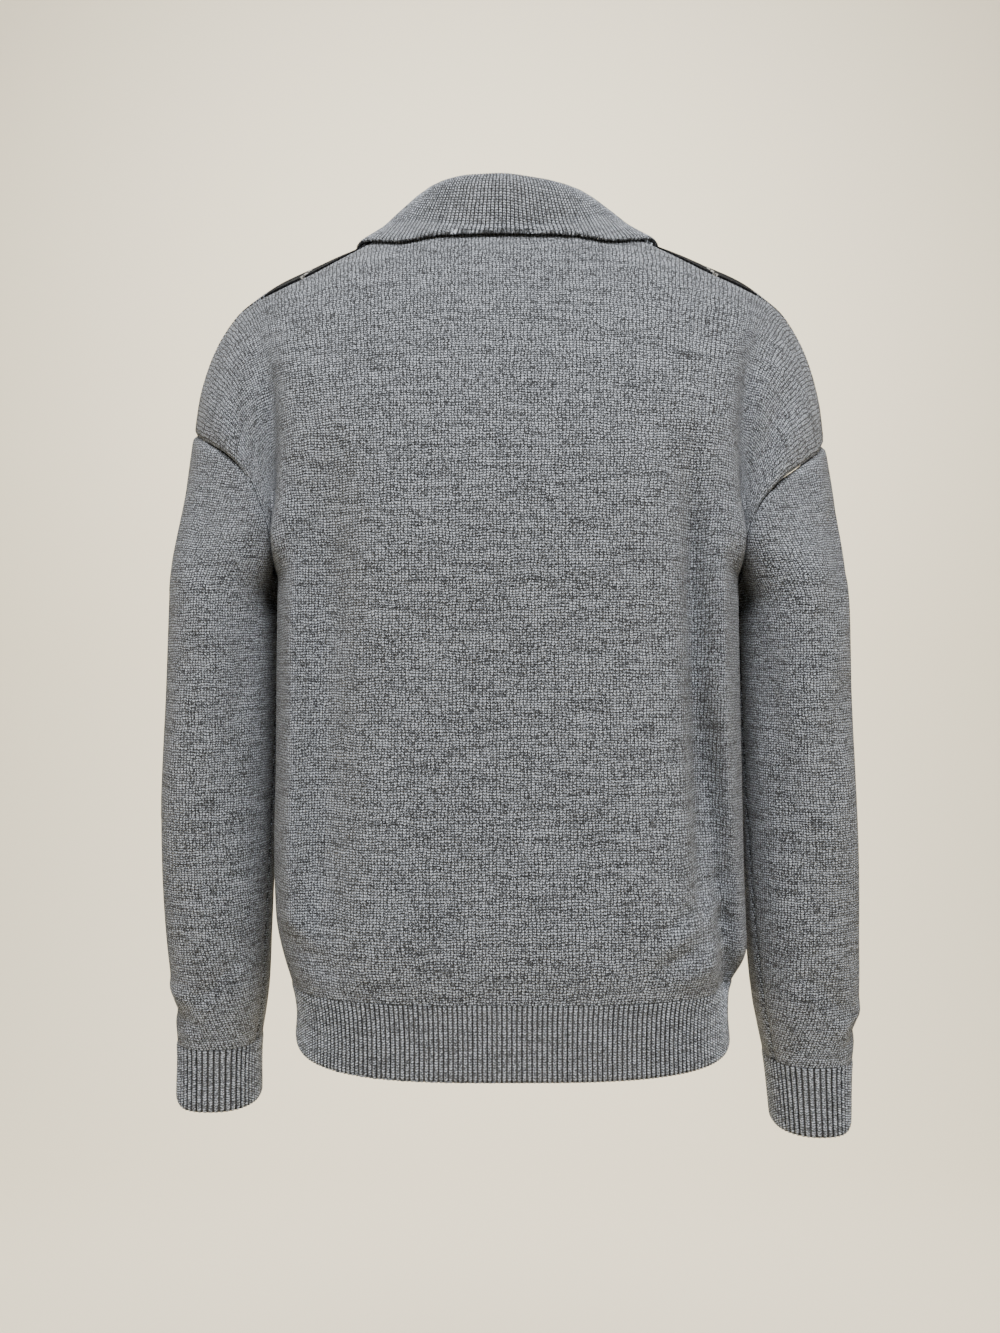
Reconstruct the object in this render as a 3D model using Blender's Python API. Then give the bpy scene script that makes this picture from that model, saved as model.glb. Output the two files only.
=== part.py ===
"""Argyle polo sweater, worn and hollow: knitted panels on a general figure, with no wearer.

Metres, +Z up, the front towards -Y and the wearer's left towards +X. The origin lies between the
neck ends of the two shoulder seams, where the wearer's neck and shoulders hold the sweater up.

A panel is a sheet of points: its columns are the knit's wales, its rows the knit's courses. Every
sheet is worked out from the sections and seams below, and then gets its cloth's thickness.
"""

import math
from collections import namedtuple

import bpy
import numpy as np

CLOTH = 0.0022  # thickness of the plain knit
RIB = 0.0028  # thickness of the ribbed bands and the collar
SEAM_GAP = 0.0004  # between two pieces along a seam
COLLAR_CLEARANCE = 0.0022  # between the collar's fall and the panels under it

UNDERARM = -0.262  # height at which the sleeves leave the body
HEM = -0.609
HEM_RIB_TOP = -0.556
CREST_BACK = -0.005  # where the top of the shoulder lies, front to back
NECK_RISE = 0.013  # how far the shoulders' slope would climb towards the centre
DOME = 2.2  # squareness of the shoulders from front to back

# Shares of a half panel's width, from its centre wale to its armhole and side seam.
NECK_SHARE = 0.32
ARM_START = 0.60
ARM_FOLD = 0.70
ARM_MIDDLE = 0.85

# The body tube, from the hem up: half widths to the wearer's left and right, depths from the centre.
BodyRing = namedtuple("BodyRing", "height left right back front")
BODY_RINGS = (
    BodyRing(-0.609, 0.1550, 0.1645, 0.125, 0.113),
    BodyRing(-0.582, 0.1540, 0.1630, 0.126, 0.114),
    BodyRing(-0.556, 0.1580, 0.1665, 0.127, 0.117),
    BodyRing(-0.540, 0.1630, 0.1755, 0.129, 0.120),
    BodyRing(-0.520, 0.1680, 0.1765, 0.130, 0.121),
    BodyRing(-0.480, 0.1710, 0.1755, 0.127, 0.122),
    BodyRing(-0.400, 0.1705, 0.1740, 0.121, 0.124),
    BodyRing(-0.320, 0.1700, 0.1725, 0.119, 0.130),
    BodyRing(-0.262, 0.1690, 0.1715, 0.121, 0.135),
)
BODY_SQUARENESS = 3.3
HEM_LIFT = {"left": 0.022, "right": 0.014}  # how far the hem rises at its side seams

# The crest of each shoulder, from the neck out to the sleeve: distance from the centre and height.
CrestPoint = namedtuple("CrestPoint", "out height")
SHOULDER_CREST = {
    "left": (
        CrestPoint(0.087, 0.000),
        CrestPoint(0.123, -0.016),
        CrestPoint(0.157, -0.031),
        CrestPoint(0.184, -0.044),
        CrestPoint(0.205, -0.061),
        CrestPoint(0.220, -0.083),
        CrestPoint(0.231, -0.107),
        CrestPoint(0.237, -0.128),
        CrestPoint(0.240, -0.150),
    ),
    "right": (
        CrestPoint(0.087, 0.001),
        CrestPoint(0.121, -0.012),
        CrestPoint(0.150, -0.024),
        CrestPoint(0.182, -0.038),
        CrestPoint(0.207, -0.056),
        CrestPoint(0.226, -0.083),
        CrestPoint(0.235, -0.107),
        CrestPoint(0.242, -0.136),
        CrestPoint(0.245, -0.158),
    ),
}

# Wales near an arm, from just above the underarm round to just short of the crest: the armhole
# seam, the crease where the cloth turns from the body onto the arm, and one between them.
WalePoint = namedtuple("WalePoint", "out deep height")
ARMHOLE = {
    "left": (
        WalePoint(0.1690, 0.027, -0.2545),
        WalePoint(0.1692, 0.048, -0.2465),
        WalePoint(0.1700, 0.063, -0.2340),
        WalePoint(0.1755, 0.070, -0.2120),
        WalePoint(0.1875, 0.067, -0.1890),
        WalePoint(0.2060, 0.056, -0.1735),
        WalePoint(0.2270, 0.034, -0.1600),
    ),
    "right": (
        WalePoint(0.1715, 0.027, -0.2555),
        WalePoint(0.1717, 0.048, -0.2480),
        WalePoint(0.1725, 0.063, -0.2360),
        WalePoint(0.1785, 0.069, -0.2165),
        WalePoint(0.1950, 0.062, -0.1980),
        WalePoint(0.2160, 0.046, -0.1820),
        WalePoint(0.2330, 0.028, -0.1700),
    ),
}
ARM_CREASE = {
    "left": (
        WalePoint(0.1640, 0.084, -0.236),
        WalePoint(0.1645, 0.074, -0.208),
        WalePoint(0.1640, 0.068, -0.182),
        WalePoint(0.1655, 0.066, -0.150),
        WalePoint(0.1710, 0.062, -0.118),
        WalePoint(0.1810, 0.049, -0.088),
        WalePoint(0.1930, 0.027, -0.066),
    ),
    "right": (
        WalePoint(0.1665, 0.084, -0.238),
        WalePoint(0.1670, 0.074, -0.210),
        WalePoint(0.1665, 0.068, -0.184),
        WalePoint(0.1680, 0.066, -0.150),
        WalePoint(0.1740, 0.062, -0.116),
        WalePoint(0.1860, 0.049, -0.085),
        WalePoint(0.1990, 0.027, -0.065),
    ),
}
ARM_SIDE = {
    "left": (
        WalePoint(0.1680, 0.046, -0.2570),
        WalePoint(0.1668, 0.061, -0.2480),
        WalePoint(0.1657, 0.069, -0.2340),
        WalePoint(0.1660, 0.065, -0.2120),
        WalePoint(0.1700, 0.065, -0.1860),
        WalePoint(0.1800, 0.068, -0.1610),
        WalePoint(0.1930, 0.062, -0.1370),
        WalePoint(0.2090, 0.044, -0.1180),
        WalePoint(0.2210, 0.022, -0.1060),
    ),
    "right": (
        WalePoint(0.1705, 0.046, -0.2575),
        WalePoint(0.1693, 0.061, -0.2490),
        WalePoint(0.1682, 0.069, -0.2360),
        WalePoint(0.1685, 0.065, -0.2140),
        WalePoint(0.1725, 0.065, -0.1880),
        WalePoint(0.1840, 0.067, -0.1640),
        WalePoint(0.1975, 0.060, -0.1410),
        WalePoint(0.2140, 0.042, -0.1220),
        WalePoint(0.2270, 0.021, -0.1100),
    ),
}

# Each sleeve, from its top down to its cuff's edge: sides away from and next to the body, half
# depth front to back, and how far the middle lies behind the centre.
SleeveRing = namedtuple("SleeveRing", "height outer inner deep middle")
SLEEVE_RINGS = {
    "left": (
        SleeveRing(-0.150, 0.2385, 0.173, 0.074, 0.000),
        SleeveRing(-0.200, 0.2450, 0.173, 0.074, 0.000),
        SleeveRing(-0.262, 0.2515, 0.174, 0.073, 0.000),
        SleeveRing(-0.350, 0.2560, 0.175, 0.069, -0.001),
        SleeveRing(-0.450, 0.2600, 0.178, 0.064, -0.003),
        SleeveRing(-0.530, 0.2565, 0.181, 0.058, -0.005),
        SleeveRing(-0.585, 0.2520, 0.184, 0.050, -0.006),
        SleeveRing(-0.611, 0.2500, 0.188, 0.043, -0.006),
        SleeveRing(-0.658, 0.2505, 0.189, 0.041, -0.006),
    ),
    "right": (
        SleeveRing(-0.158, 0.2430, 0.176, 0.074, 0.000),
        SleeveRing(-0.200, 0.2500, 0.176, 0.074, 0.000),
        SleeveRing(-0.262, 0.2565, 0.177, 0.073, 0.000),
        SleeveRing(-0.350, 0.2600, 0.179, 0.069, -0.001),
        SleeveRing(-0.450, 0.2640, 0.182, 0.064, -0.002),
        SleeveRing(-0.530, 0.2650, 0.185, 0.058, -0.004),
        SleeveRing(-0.590, 0.2665, 0.191, 0.050, -0.005),
        SleeveRing(-0.624, 0.2630, 0.198, 0.043, -0.005),
        SleeveRing(-0.676, 0.2615, 0.204, 0.041, -0.004),
    ),
}
SLEEVE_SQUARENESS = 2.3
CAP_FADE = 0.11  # how far below its top a sleeve keeps the armhole's outline
UNDERARM_FADE = 0.022  # and how far below the underarm

# Where the neckline cuts the shoulders' dome, as turns in degrees: 0 is the crest, 90 the back at
# the underarm's height and -90 the front there.
NeckPoint = namedtuple("NeckPoint", "share back front")
NECKLINE = (
    NeckPoint(0.00, 25.8, -67.0),
    NeckPoint(0.08, 25.0, -58.0),
    NeckPoint(0.16, 22.0, -47.0),
    NeckPoint(0.24, 16.0, -33.0),
    NeckPoint(0.29, 11.0, -17.0),
    NeckPoint(0.32, 6.0, 6.0),
)

# How far the shoulder seam lies behind the crest, as turns too: the front reaches over the shoulder.
SeamPlace = namedtuple("SeamPlace", "share turn")
SHOULDER_SEAM = (
    SeamPlace(0.32, 6.0),
    SeamPlace(0.40, 14.0),
    SeamPlace(0.50, 18.0),
    SeamPlace(0.60, 17.0),
    SeamPlace(0.70, 10.0),
    SeamPlace(0.85, 8.0),
    SeamPlace(1.00, 7.0),
)

# The collar by its place along half the neckline: its free edge lies on the shoulders' dome, and
# its fold is given from the neckline's seam.
CollarPlace = namedtuple("CollarPlace", "place edge_share edge_turn fold_out fold_back fold_up")
COLLAR = (
    CollarPlace(0.000, 0.000, 29.6, 0.000, 0.007, 0.0345),
    CollarPlace(0.160, 0.185, 27.8, -0.010, 0.005, 0.0325),
    CollarPlace(0.270, 0.330, 24.0, -0.022, 0.002, 0.0275),
    CollarPlace(0.320, 0.395, 11.0, -0.027, -0.002, 0.0260),
    CollarPlace(0.350, 0.440, -17.0, -0.023, -0.003, 0.0230),
    CollarPlace(0.425, 0.420, -40.0, -0.014, -0.004, 0.0160),
    CollarPlace(0.520, 0.385, -55.5, -0.008, -0.003, 0.0090),
    CollarPlace(0.620, 0.315, -70.5, -0.002, -0.001, 0.0020),
)
COLLAR_FOLD = 0.0080  # from the stand's face to the fall's at the fold
COLLAR_SLUMP = {"left": 0.0, "right": 0.004}  # how much lower the fold hangs beside the neck

# The largest creases, as lines on one face of the sweater seen from the front or the back:
# across and height of both ends, width, and depth, negative for a trough.
Crease = namedtuple("Crease", "face across high across_end low width depth")
CREASES = (
    Crease("back", 0.138, -0.260, 0.128, -0.520, 0.020, -0.005),
    Crease("back", -0.122, -0.200, -0.158, -0.520, 0.018, -0.008),
    Crease("front", 0.125, -0.240, 0.110, -0.500, 0.022, -0.006),
    Crease("front", -0.120, -0.260, -0.130, -0.520, 0.020, -0.006),
)

# How finely the sheets are cut into faces here.
SHARES = (0.0, 0.08, 0.16, 0.24, 0.29, 0.32, 0.41, 0.51, 0.60, 0.65, 0.70, 0.79, 0.89, 1.0)
COLLAR_PLACES = (0.0, 0.08, 0.16, 0.24, 0.29, 0.32, 0.335, 0.35, 0.375, 0.40, 0.44, 0.48, 0.56, 0.625)
BODY_ROWS = 8
YOKE_ROWS = 10
SLEEVE_ROWS = 12
HEM_ROWS = 2
CUFF_ROWS = 2

SIGN = {"left": 1.0, "right": -1.0}


def spline(keys, values, at):
    """A smooth curve through values at rising keys, read at the places in at."""
    keys = np.asarray(keys, float)
    values = np.asarray(values, float)
    at = np.clip(np.asarray(at, float), keys[0], keys[-1])
    slopes = np.gradient(values, keys, axis=0)
    i = np.clip(np.searchsorted(keys, at, side="right") - 1, 0, len(keys) - 2)
    span = keys[i + 1] - keys[i]
    t = (at - keys[i]) / span
    extra = (1,) * (values.ndim - 1)
    t = t.reshape(t.shape + extra)
    span = span.reshape(span.shape + extra)
    start = values[i] * (2 * t**3 - 3 * t**2 + 1) + slopes[i] * span * (t**3 - 2 * t**2 + t)
    end = values[i + 1] * (3 * t**2 - 2 * t**3) + slopes[i + 1] * span * (t**3 - t**2)
    return start + end


def column(table, name):
    return [getattr(row, name) for row in table]


def along(points, shares):
    """Points at the given shares of a polyline's length."""
    steps = np.linalg.norm(np.diff(points, axis=0), axis=1)
    length = np.concatenate([[0.0], np.cumsum(steps)])
    places = np.asarray(shares) * length[-1]
    return np.stack([np.interp(places, length, points[:, k]) for k in range(3)], axis=-1)


def superellipse(turns, squareness):
    """Sine and cosine raised so that a round outline becomes a squarer one."""
    power = 2.0 / squareness
    sine = np.sin(turns)
    cosine = np.cos(turns)
    return np.sign(sine) * abs(sine) ** power, np.sign(cosine) * abs(cosine) ** power


def body_half_ring(side, face, height, shares):
    """Points of the body tube at one height, from the centre of a face to the side seam."""
    heights = column(BODY_RINGS, "height")
    wide = spline(heights, column(BODY_RINGS, side), height)
    deep = spline(heights, column(BODY_RINGS, face), height)
    sine, cosine = superellipse(np.linspace(0, math.pi / 2, 90), BODY_SQUARENESS)
    outline = np.stack([SIGN[side] * wide * sine, deep * cosine, np.full(90, height)], axis=-1)
    if face == "front":
        outline[:, 1] *= -1
    return along(outline, shares)


def crest_points(side, shares):
    """The shoulders' crest above each share of a half panel."""
    shares = np.asarray(shares, float)
    table = SHOULDER_CREST[side]
    keys = np.linspace(0, 1, len(table))
    fine = np.linspace(0, 1, 80)
    line = np.stack(
        [
            SIGN[side] * spline(keys, column(table, "out"), fine),
            np.full(80, CREST_BACK),
            spline(keys, column(table, "height"), fine),
        ],
        axis=-1,
    )
    places = [0.0, 0.25 * NECK_SHARE, 0.6 * NECK_SHARE, NECK_SHARE, *np.linspace(NECK_SHARE, 1, 9)[1:]]
    shoulder = along(line, np.linspace(0, 1, 9))
    neck = [shoulder[0] * [k, 1, 0] + [0, 0, NECK_RISE * (1 - k**2)] for k in (0.0, 0.25, 0.6)]
    return spline(places, np.concatenate([neck, shoulder]), shares)


def dome(side, shares, turns):
    """Points on the shoulders' dome: shares across a half panel, turns in degrees over the crest."""
    shares = np.atleast_1d(np.asarray(shares, float))
    turns = np.radians(np.atleast_1d(np.asarray(turns, float)))
    crest = crest_points(side, shares)
    base_back = body_half_ring(side, "back", UNDERARM, shares)
    base_front = body_half_ring(side, "front", UNDERARM, shares)
    base = np.where((turns >= 0)[:, None], base_back, base_front)
    swing, rise = superellipse(abs(turns), DOME)
    points = base + (crest - base) * rise[:, None]
    points[:, 0] = base[:, 0] + (crest[:, 0] - base[:, 0]) * rise**1.6
    points[:, 1] = crest[:, 1] + (base[:, 1] - crest[:, 1]) * swing
    return points


def top_turn(face, share):
    """The turn at which a panel's wale ends, at its neckline or shoulder seam."""
    if share >= NECK_SHARE:
        return float(spline(column(SHOULDER_SEAM, "share"), column(SHOULDER_SEAM, "turn"), share))
    return float(spline(column(NECKLINE, "share"), column(NECKLINE, face), share))


def arm_wale(side, face, share, table, shares):
    """Points on a wale near the arm, from the underarm's height to the shoulder seam."""
    shares = np.asarray(shares) ** (1 + 0.3 * share)
    depth = 1.0 if face == "back" else -1.0
    start = body_half_ring(side, face, UNDERARM, [share])
    middle = [(SIGN[side] * p.out, depth * p.deep, p.height) for p in table[side]]
    top = dome(side, [share, share], [0.0, top_turn(face, share)])
    ends = top[1:] if face == "back" else top
    keys = np.concatenate([start, middle, ends])
    fine = spline(np.arange(len(keys)), keys, np.linspace(0, len(keys) - 1, 160))
    return along(fine, shares)


def dome_wale(side, face, share, shares):
    """Points on a wale over the shoulders' dome, from the underarm's height to its end."""
    start = 90.0 if face == "back" else -90.0
    turns = np.linspace(start, top_turn(face, share), 80)
    return along(dome(side, np.full(80, share), turns), shares)


def yoke_wale(side, face, share, shares):
    """Points on any wale above the underarm's height."""
    if share <= ARM_START:
        return dome_wale(side, face, share, shares)
    stack = [dome_wale(side, face, s, shares) for s in (0.50, ARM_START)]
    for place, table in ((ARM_FOLD, ARM_CREASE), (ARM_MIDDLE, ARM_SIDE), (1.0, ARMHOLE)):
        stack.append(arm_wale(side, face, place, table, shares))
    keys = (0.50, ARM_START, ARM_FOLD, ARM_MIDDLE, 1.0)
    return spline(keys, np.stack(stack), np.full(1, share))[0]


def half_panel(side, face, shares):
    """Rows and columns of one half of a front or back panel, above the hem's rib."""
    body_heights = np.linspace(HEM_RIB_TOP, UNDERARM, BODY_ROWS, endpoint=False)
    body = [body_half_ring(side, face, height, shares) for height in body_heights]
    yoke_rows = np.linspace(0, 1, YOKE_ROWS + 1)
    yoke = np.stack([yoke_wale(side, face, share, yoke_rows) for share in shares], axis=1)
    yoke[0] = body_half_ring(side, face, UNDERARM, shares)
    return np.concatenate([np.stack(body), yoke])


def whole_panel(face):
    """A panel's sheet, from the wearer's left side to the right."""
    left = half_panel("left", face, SHARES)
    right = half_panel("right", face, SHARES)
    return np.concatenate([left[:, ::-1], right[:, 1:]], axis=1)


def hem_rib(face):
    """The ribbed band under a panel."""
    heights = np.linspace(HEM, HEM_RIB_TOP, HEM_ROWS + 1)
    halves = []
    for side in ("left", "right"):
        half = np.stack([body_half_ring(side, face, height, SHARES) for height in heights])
        lift = np.outer(np.linspace(1, 0, HEM_ROWS + 1), np.array(SHARES) ** 3)
        half[:, :, 2] += HEM_LIFT[side] * lift
        halves.append(half)
    left, right = halves
    return np.concatenate([left[:, ::-1], right[:, 1:]], axis=1)


def armhole_loop(side):
    """The closed armhole seam, from the underarm over the back and down the front."""
    rows = np.linspace(0, 1, YOKE_ROWS + 1)
    back = arm_wale(side, "back", 1.0, ARMHOLE, rows)
    front = arm_wale(side, "front", 1.0, ARMHOLE, rows)
    return np.concatenate([back, front[::-1][1:]])


def sleeve_ring_point(side, height, share):
    """A point round the sleeve's tube, whose shares start next to the body and go round the back."""
    table = SLEEVE_RINGS[side][::-1]
    heights = column(table, "height")
    outer, inner, deep, middle = (
        spline(heights, column(table, name), height) for name in ("outer", "inner", "deep", "middle")
    )
    sine, cosine = superellipse(np.linspace(0, 2 * math.pi, 121), SLEEVE_SQUARENESS)
    across = (outer + inner) / 2 - (outer - inner) / 2 * cosine
    ring = np.stack([SIGN[side] * across, middle + deep * sine, np.full(121, height)], axis=-1)
    return along(ring, [share])[0]


def sleeve(side):
    """The sleeve's sheet, from its armhole seam down to the cuff."""
    loop = armhole_loop(side)
    steps = np.linalg.norm(np.diff(loop, axis=0), axis=1)
    shares = np.concatenate([[0.0], np.cumsum(steps)]) / steps.sum()
    cuff_top = SLEEVE_RINGS[side][-2].height
    raised = (loop[:, 2] - UNDERARM) / (loop[:, 2].max() - UNDERARM)
    reaches = UNDERARM_FADE + (CAP_FADE - UNDERARM_FADE) * raised
    rows = []
    for k in np.linspace(0, 1, SLEEVE_ROWS + 1) ** 1.4:
        row = []
        for start, share, reach in zip(loop, shares, reaches):
            height = start[2] + (cuff_top - start[2]) * k
            fade = 1 - min(1.0, (start[2] - height) / reach)
            fade = fade * fade * (3 - 2 * fade)
            offset = start - sleeve_ring_point(side, start[2], share)
            row.append(sleeve_ring_point(side, height, share) + offset * fade)
        rows.append(row)
    return np.array(rows)


def cuff(side):
    """The ribbed cuff under a sleeve."""
    loop = armhole_loop(side)
    steps = np.linalg.norm(np.diff(loop, axis=0), axis=1)
    shares = np.concatenate([[0.0], np.cumsum(steps)]) / steps.sum()
    top, edge = SLEEVE_RINGS[side][-2].height, SLEEVE_RINGS[side][-1].height
    heights = np.linspace(top, edge, CUFF_ROWS + 1)
    return np.array([[sleeve_ring_point(side, h, s) for s in shares] for h in heights])


def dome_normals(side, shares, turns):
    """The dome's outward normals."""
    nudge = 0.005
    across = dome(side, shares + nudge, turns) - dome(side, shares - nudge, turns)
    over = dome(side, shares, turns + 1.0) - dome(side, shares, turns - 1.0)
    normal = np.cross(across, over) * SIGN[side]
    return normal / np.linalg.norm(normal, axis=1)[:, None]


def neckline_half(side, places):
    """Points on half the neckline, from the centre back over the shoulder to the V's point."""
    knots = [share for share in SHARES if share <= NECK_SHARE]
    back = [dome(side, [share], [top_turn("back", share)])[0] for share in knots]
    front = [dome(side, [share], [top_turn("front", share)])[0] for share in knots[-2::-1]]
    line = np.array(back + front)
    keys = knots + [2 * NECK_SHARE - share for share in knots[-2::-1]]
    return np.stack([np.interp(places, keys, line[:, k]) for k in range(3)], axis=-1)


def neckline_turns(places):
    """The dome's shares and turns at places along the neckline."""
    shares = np.minimum(places, 2 * NECK_SHARE - places)
    faces = ["back" if place <= NECK_SHARE else "front" for place in places]
    return shares, np.array([top_turn(face, share) for face, share in zip(faces, shares)])


def collar_half(side, places):
    """The collar's sheet on one side: its face, from the seam up the stand and down the fall."""
    mirrored = np.array(COLLAR[1]) * [-1, -1, 1, -1, 1, 1]
    table = np.vstack([mirrored, COLLAR])
    values = spline(table[:, 0], table[:, 1:], places)
    share, turn = neckline_turns(places)
    share = np.maximum(share, 0.0055)
    edge_share = np.maximum(values[:, 0], 0.0055)
    edge_turn = values[:, 1]
    seam = neckline_half(side, places)
    normal = dome_normals(side, share, turn)
    fold = values[:, 2:] * [SIGN[side], 1.0, 1.0]
    fold[:, 2] -= COLLAR_SLUMP[side] * np.sin(np.clip(places / 0.5, 0, 1) * math.pi)
    up = fold / np.linalg.norm(fold, axis=1)[:, None]
    line = np.gradient(seam + fold, axis=0)
    out = np.cross(line, up)
    out /= np.linalg.norm(out, axis=1)[:, None]
    out *= np.sign((out * normal).sum(axis=1))[:, None]
    lift = RIB + COLLAR_CLEARANCE
    height = np.linalg.norm(fold, axis=1)[:, None]
    roll = np.clip(height / 0.03, 0, 1)
    fold_thick = 2.2 * RIB + (COLLAR_FOLD - 2.2 * RIB) * roll
    stand_foot = seam - out * RIB + up * SEAM_GAP
    stand_top = seam + fold - out * RIB
    crown = seam + fold + up * (0.002 + 0.002 * roll) + out * (fold_thick / 2 - RIB)
    fall_top = seam + fold + out * (fold_thick - RIB)
    fall_seam = seam + normal * lift + out * 0.004 * roll
    path = [stand_foot, (stand_foot + stand_top) / 2, stand_top, crown, fall_top]
    path += [(fall_top + fall_seam) / 2 + out * 0.001 * roll, fall_seam]
    for k in (0.35, 0.7, 1.0):
        s = share + (edge_share - share) * k
        t = turn + (edge_turn - turn) * k
        path.append(dome(side, s, t) + dome_normals(side, s, t) * lift)
    return np.stack(path)


def collar():
    """The whole collar, from the wearer's left collar point round the back to the right."""
    left = collar_half("left", np.array(COLLAR_PLACES))
    right = collar_half("right", np.array(COLLAR_PLACES))
    left[:, 0] = (left[:, 0] + right[:, 0]) / 2
    left[:, 0, 0] = 0.0
    paths = np.concatenate([left[:, ::-1], right[:, 1:]], axis=1)
    return spline(np.arange(len(paths)), paths, np.array([0, 1, 2, 2.5, 3, 3.5, 4, 5, 6, 7, 8, 9]))


def face_outwards(sheet, inside):
    """Turns a sheet's columns round if its faces would point towards the inside points."""
    across = sheet[:-1, 1:] - sheet[:-1, :-1]
    down = sheet[1:, :-1] - sheet[:-1, :-1]
    normals = np.cross(across, down)
    if (normals * (sheet[:-1, :-1] - inside)).sum() < 0:
        return sheet[:, ::-1]
    return sheet


def corner_key(point):
    return tuple(np.round(point, 5) + 0.0)


def corner_normals(sheet, total):
    """Adds up the normals of the faces round every corner of a sheet."""
    for i in range(sheet.shape[0] - 1):
        for j in range(sheet.shape[1] - 1):
            a, b, c, d = sheet[i, j], sheet[i, j + 1], sheet[i + 1, j + 1], sheet[i + 1, j]
            normal = np.cross(c - a, d - b)
            normal /= np.linalg.norm(normal) + 1e-12
            for corner in (a, b, c, d):
                key = corner_key(corner)
                total[key] = total.get(key, np.zeros(3)) + normal


def unit_normals(sheet, total):
    flat = np.array([total[corner_key(point)] for point in sheet.reshape(-1, 3)])
    flat /= np.linalg.norm(flat, axis=1)[:, None] + 1e-12
    return flat.reshape(sheet.shape)


def inward_steps(sheet):
    """Steps from a sheet's border points towards its middle."""
    steps = np.zeros(sheet.shape)
    for edge, inner in ((0, 1), (-1, -2)):
        steps[edge] += sheet[inner] - sheet[edge]
        steps[:, edge] += sheet[:, inner] - sheet[:, edge]
    return steps


def shared_normals(sheets):
    """Each sheet's normals, averaged with its neighbours' but not across a sharp inner fold."""
    total = {}
    for sheet in sheets.values():
        corner_normals(sheet, total)
    found = {}
    for name, sheet in sheets.items():
        alone = {}
        corner_normals(sheet, alone)
        own = unit_normals(sheet, alone)
        shared = unit_normals(sheet, total)
        level = np.clip(((own * shared).sum(axis=-1) - 0.6) / 0.35, 0, 1)
        ridge = ((shared - own) * inward_steps(sheet)).sum(axis=-1) <= 0
        level = np.where(ridge & (level > 0), 1.0, level)[..., None]
        mixed = own * (1 - level) + shared * level
        found[name] = mixed / np.linalg.norm(mixed, axis=-1, keepdims=True)
    return found


def crease_depth(points, normals):
    """How far the creases move each point along its normal."""
    moved = np.zeros(points.shape[:-1])
    for crease in CREASES:
        start = np.array([crease.across, crease.high])
        end = np.array([crease.across_end, crease.low])
        length = np.linalg.norm(end - start)
        line = (end - start) / length
        flat = points[..., [0, 2]] - start
        run = (flat @ line) / length
        away = abs(flat @ np.array([-line[1], line[0]]))
        ends = np.clip(run * (1 - run) * 4, 0, 1) ** 0.5
        facing = normals[..., 1] > 0.15
        if crease.face == "front":
            facing = normals[..., 1] < -0.15
        moved += crease.depth * np.exp(-((away / crease.width) ** 2)) * ends * facing
    return moved


def border_shift(edge, inner):
    """Steps of half a seam gap from a border, square to it, towards the points next to it."""
    tangent = np.gradient(edge, axis=0)
    tangent /= np.linalg.norm(tangent, axis=1)[:, None]
    step = inner - edge
    step -= tangent * (step * tangent).sum(axis=1)[:, None]
    return step / np.linalg.norm(step, axis=1)[:, None] * SEAM_GAP / 2


def pull_in(layer, closed):
    """Moves a layer's border points half a seam gap towards the middle of the sheet."""
    moved = layer.copy()
    for edge, inner in ((0, 1), (-1, -2)):
        moved[edge] += border_shift(layer[edge], layer[inner])
        if not closed:
            moved[:, edge] += border_shift(layer[:, edge], layer[:, inner])
    return moved


def triangles(points, a, b, c, d):
    """Splits a four-cornered face along its shorter diagonal."""
    if np.linalg.norm(points[d] - points[b]) < np.linalg.norm(points[c] - points[a]):
        return [(a, b, d), (b, c, d)]
    return [(a, b, c), (a, c, d)]


def cloth_wall(name, sheet, normals, thickness, material, closed=False):
    """Makes a sheet of points into a closed wall of cloth, its face on the sheet."""
    sunk = sheet - normals * SEAM_GAP / 2
    face = pull_in(sunk, closed)
    back = pull_in(sunk - normals * thickness, closed)
    if closed:
        face, back = face[:, :-1], back[:, :-1]
    rows, columns = face.shape[:2]
    points = np.concatenate([face.reshape(-1, 3), back.reshape(-1, 3)])
    under = rows * columns
    ring = columns if closed else columns - 1

    def at(i, j):
        return i * columns + j % columns

    faces = []
    for i in range(rows - 1):
        for j in range(ring):
            corners = at(i, j), at(i, j + 1), at(i + 1, j + 1), at(i + 1, j)
            for half in triangles(points, *corners):
                faces.append(half)
                faces.append(tuple(under + k for k in reversed(half)))
    for j in range(ring):
        for i, step in ((0, 1), (rows - 1, -1)):
            a, b = (at(i, j), at(i, j + 1))[::step]
            faces += triangles(points, b, a, under + a, under + b)
    if not closed:
        for i in range(rows - 1):
            for j, step in ((0, -1), (columns - 1, 1)):
                a, b = (at(i, j), at(i + 1, j))[::step]
                faces += triangles(points, b, a, under + a, under + b)
    mesh = bpy.data.meshes.new(name)
    mesh.from_pydata(points.tolist(), [], faces)
    mesh.materials.append(material)
    mesh.update()
    knitted = bpy.data.objects.new(name, mesh)
    bpy.data.collections["argyle_polo_sweater"].objects.link(knitted)
    return knitted


def knit_material(name, colour):
    material = bpy.data.materials.new(name)
    material.use_nodes = True
    shader = material.node_tree.nodes["Principled BSDF"]
    shader.inputs["Base Color"].default_value = (*colour, 1.0)
    shader.inputs["Roughness"].default_value = 0.95
    shader.inputs["Metallic"].default_value = 0.0
    return material


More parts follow.
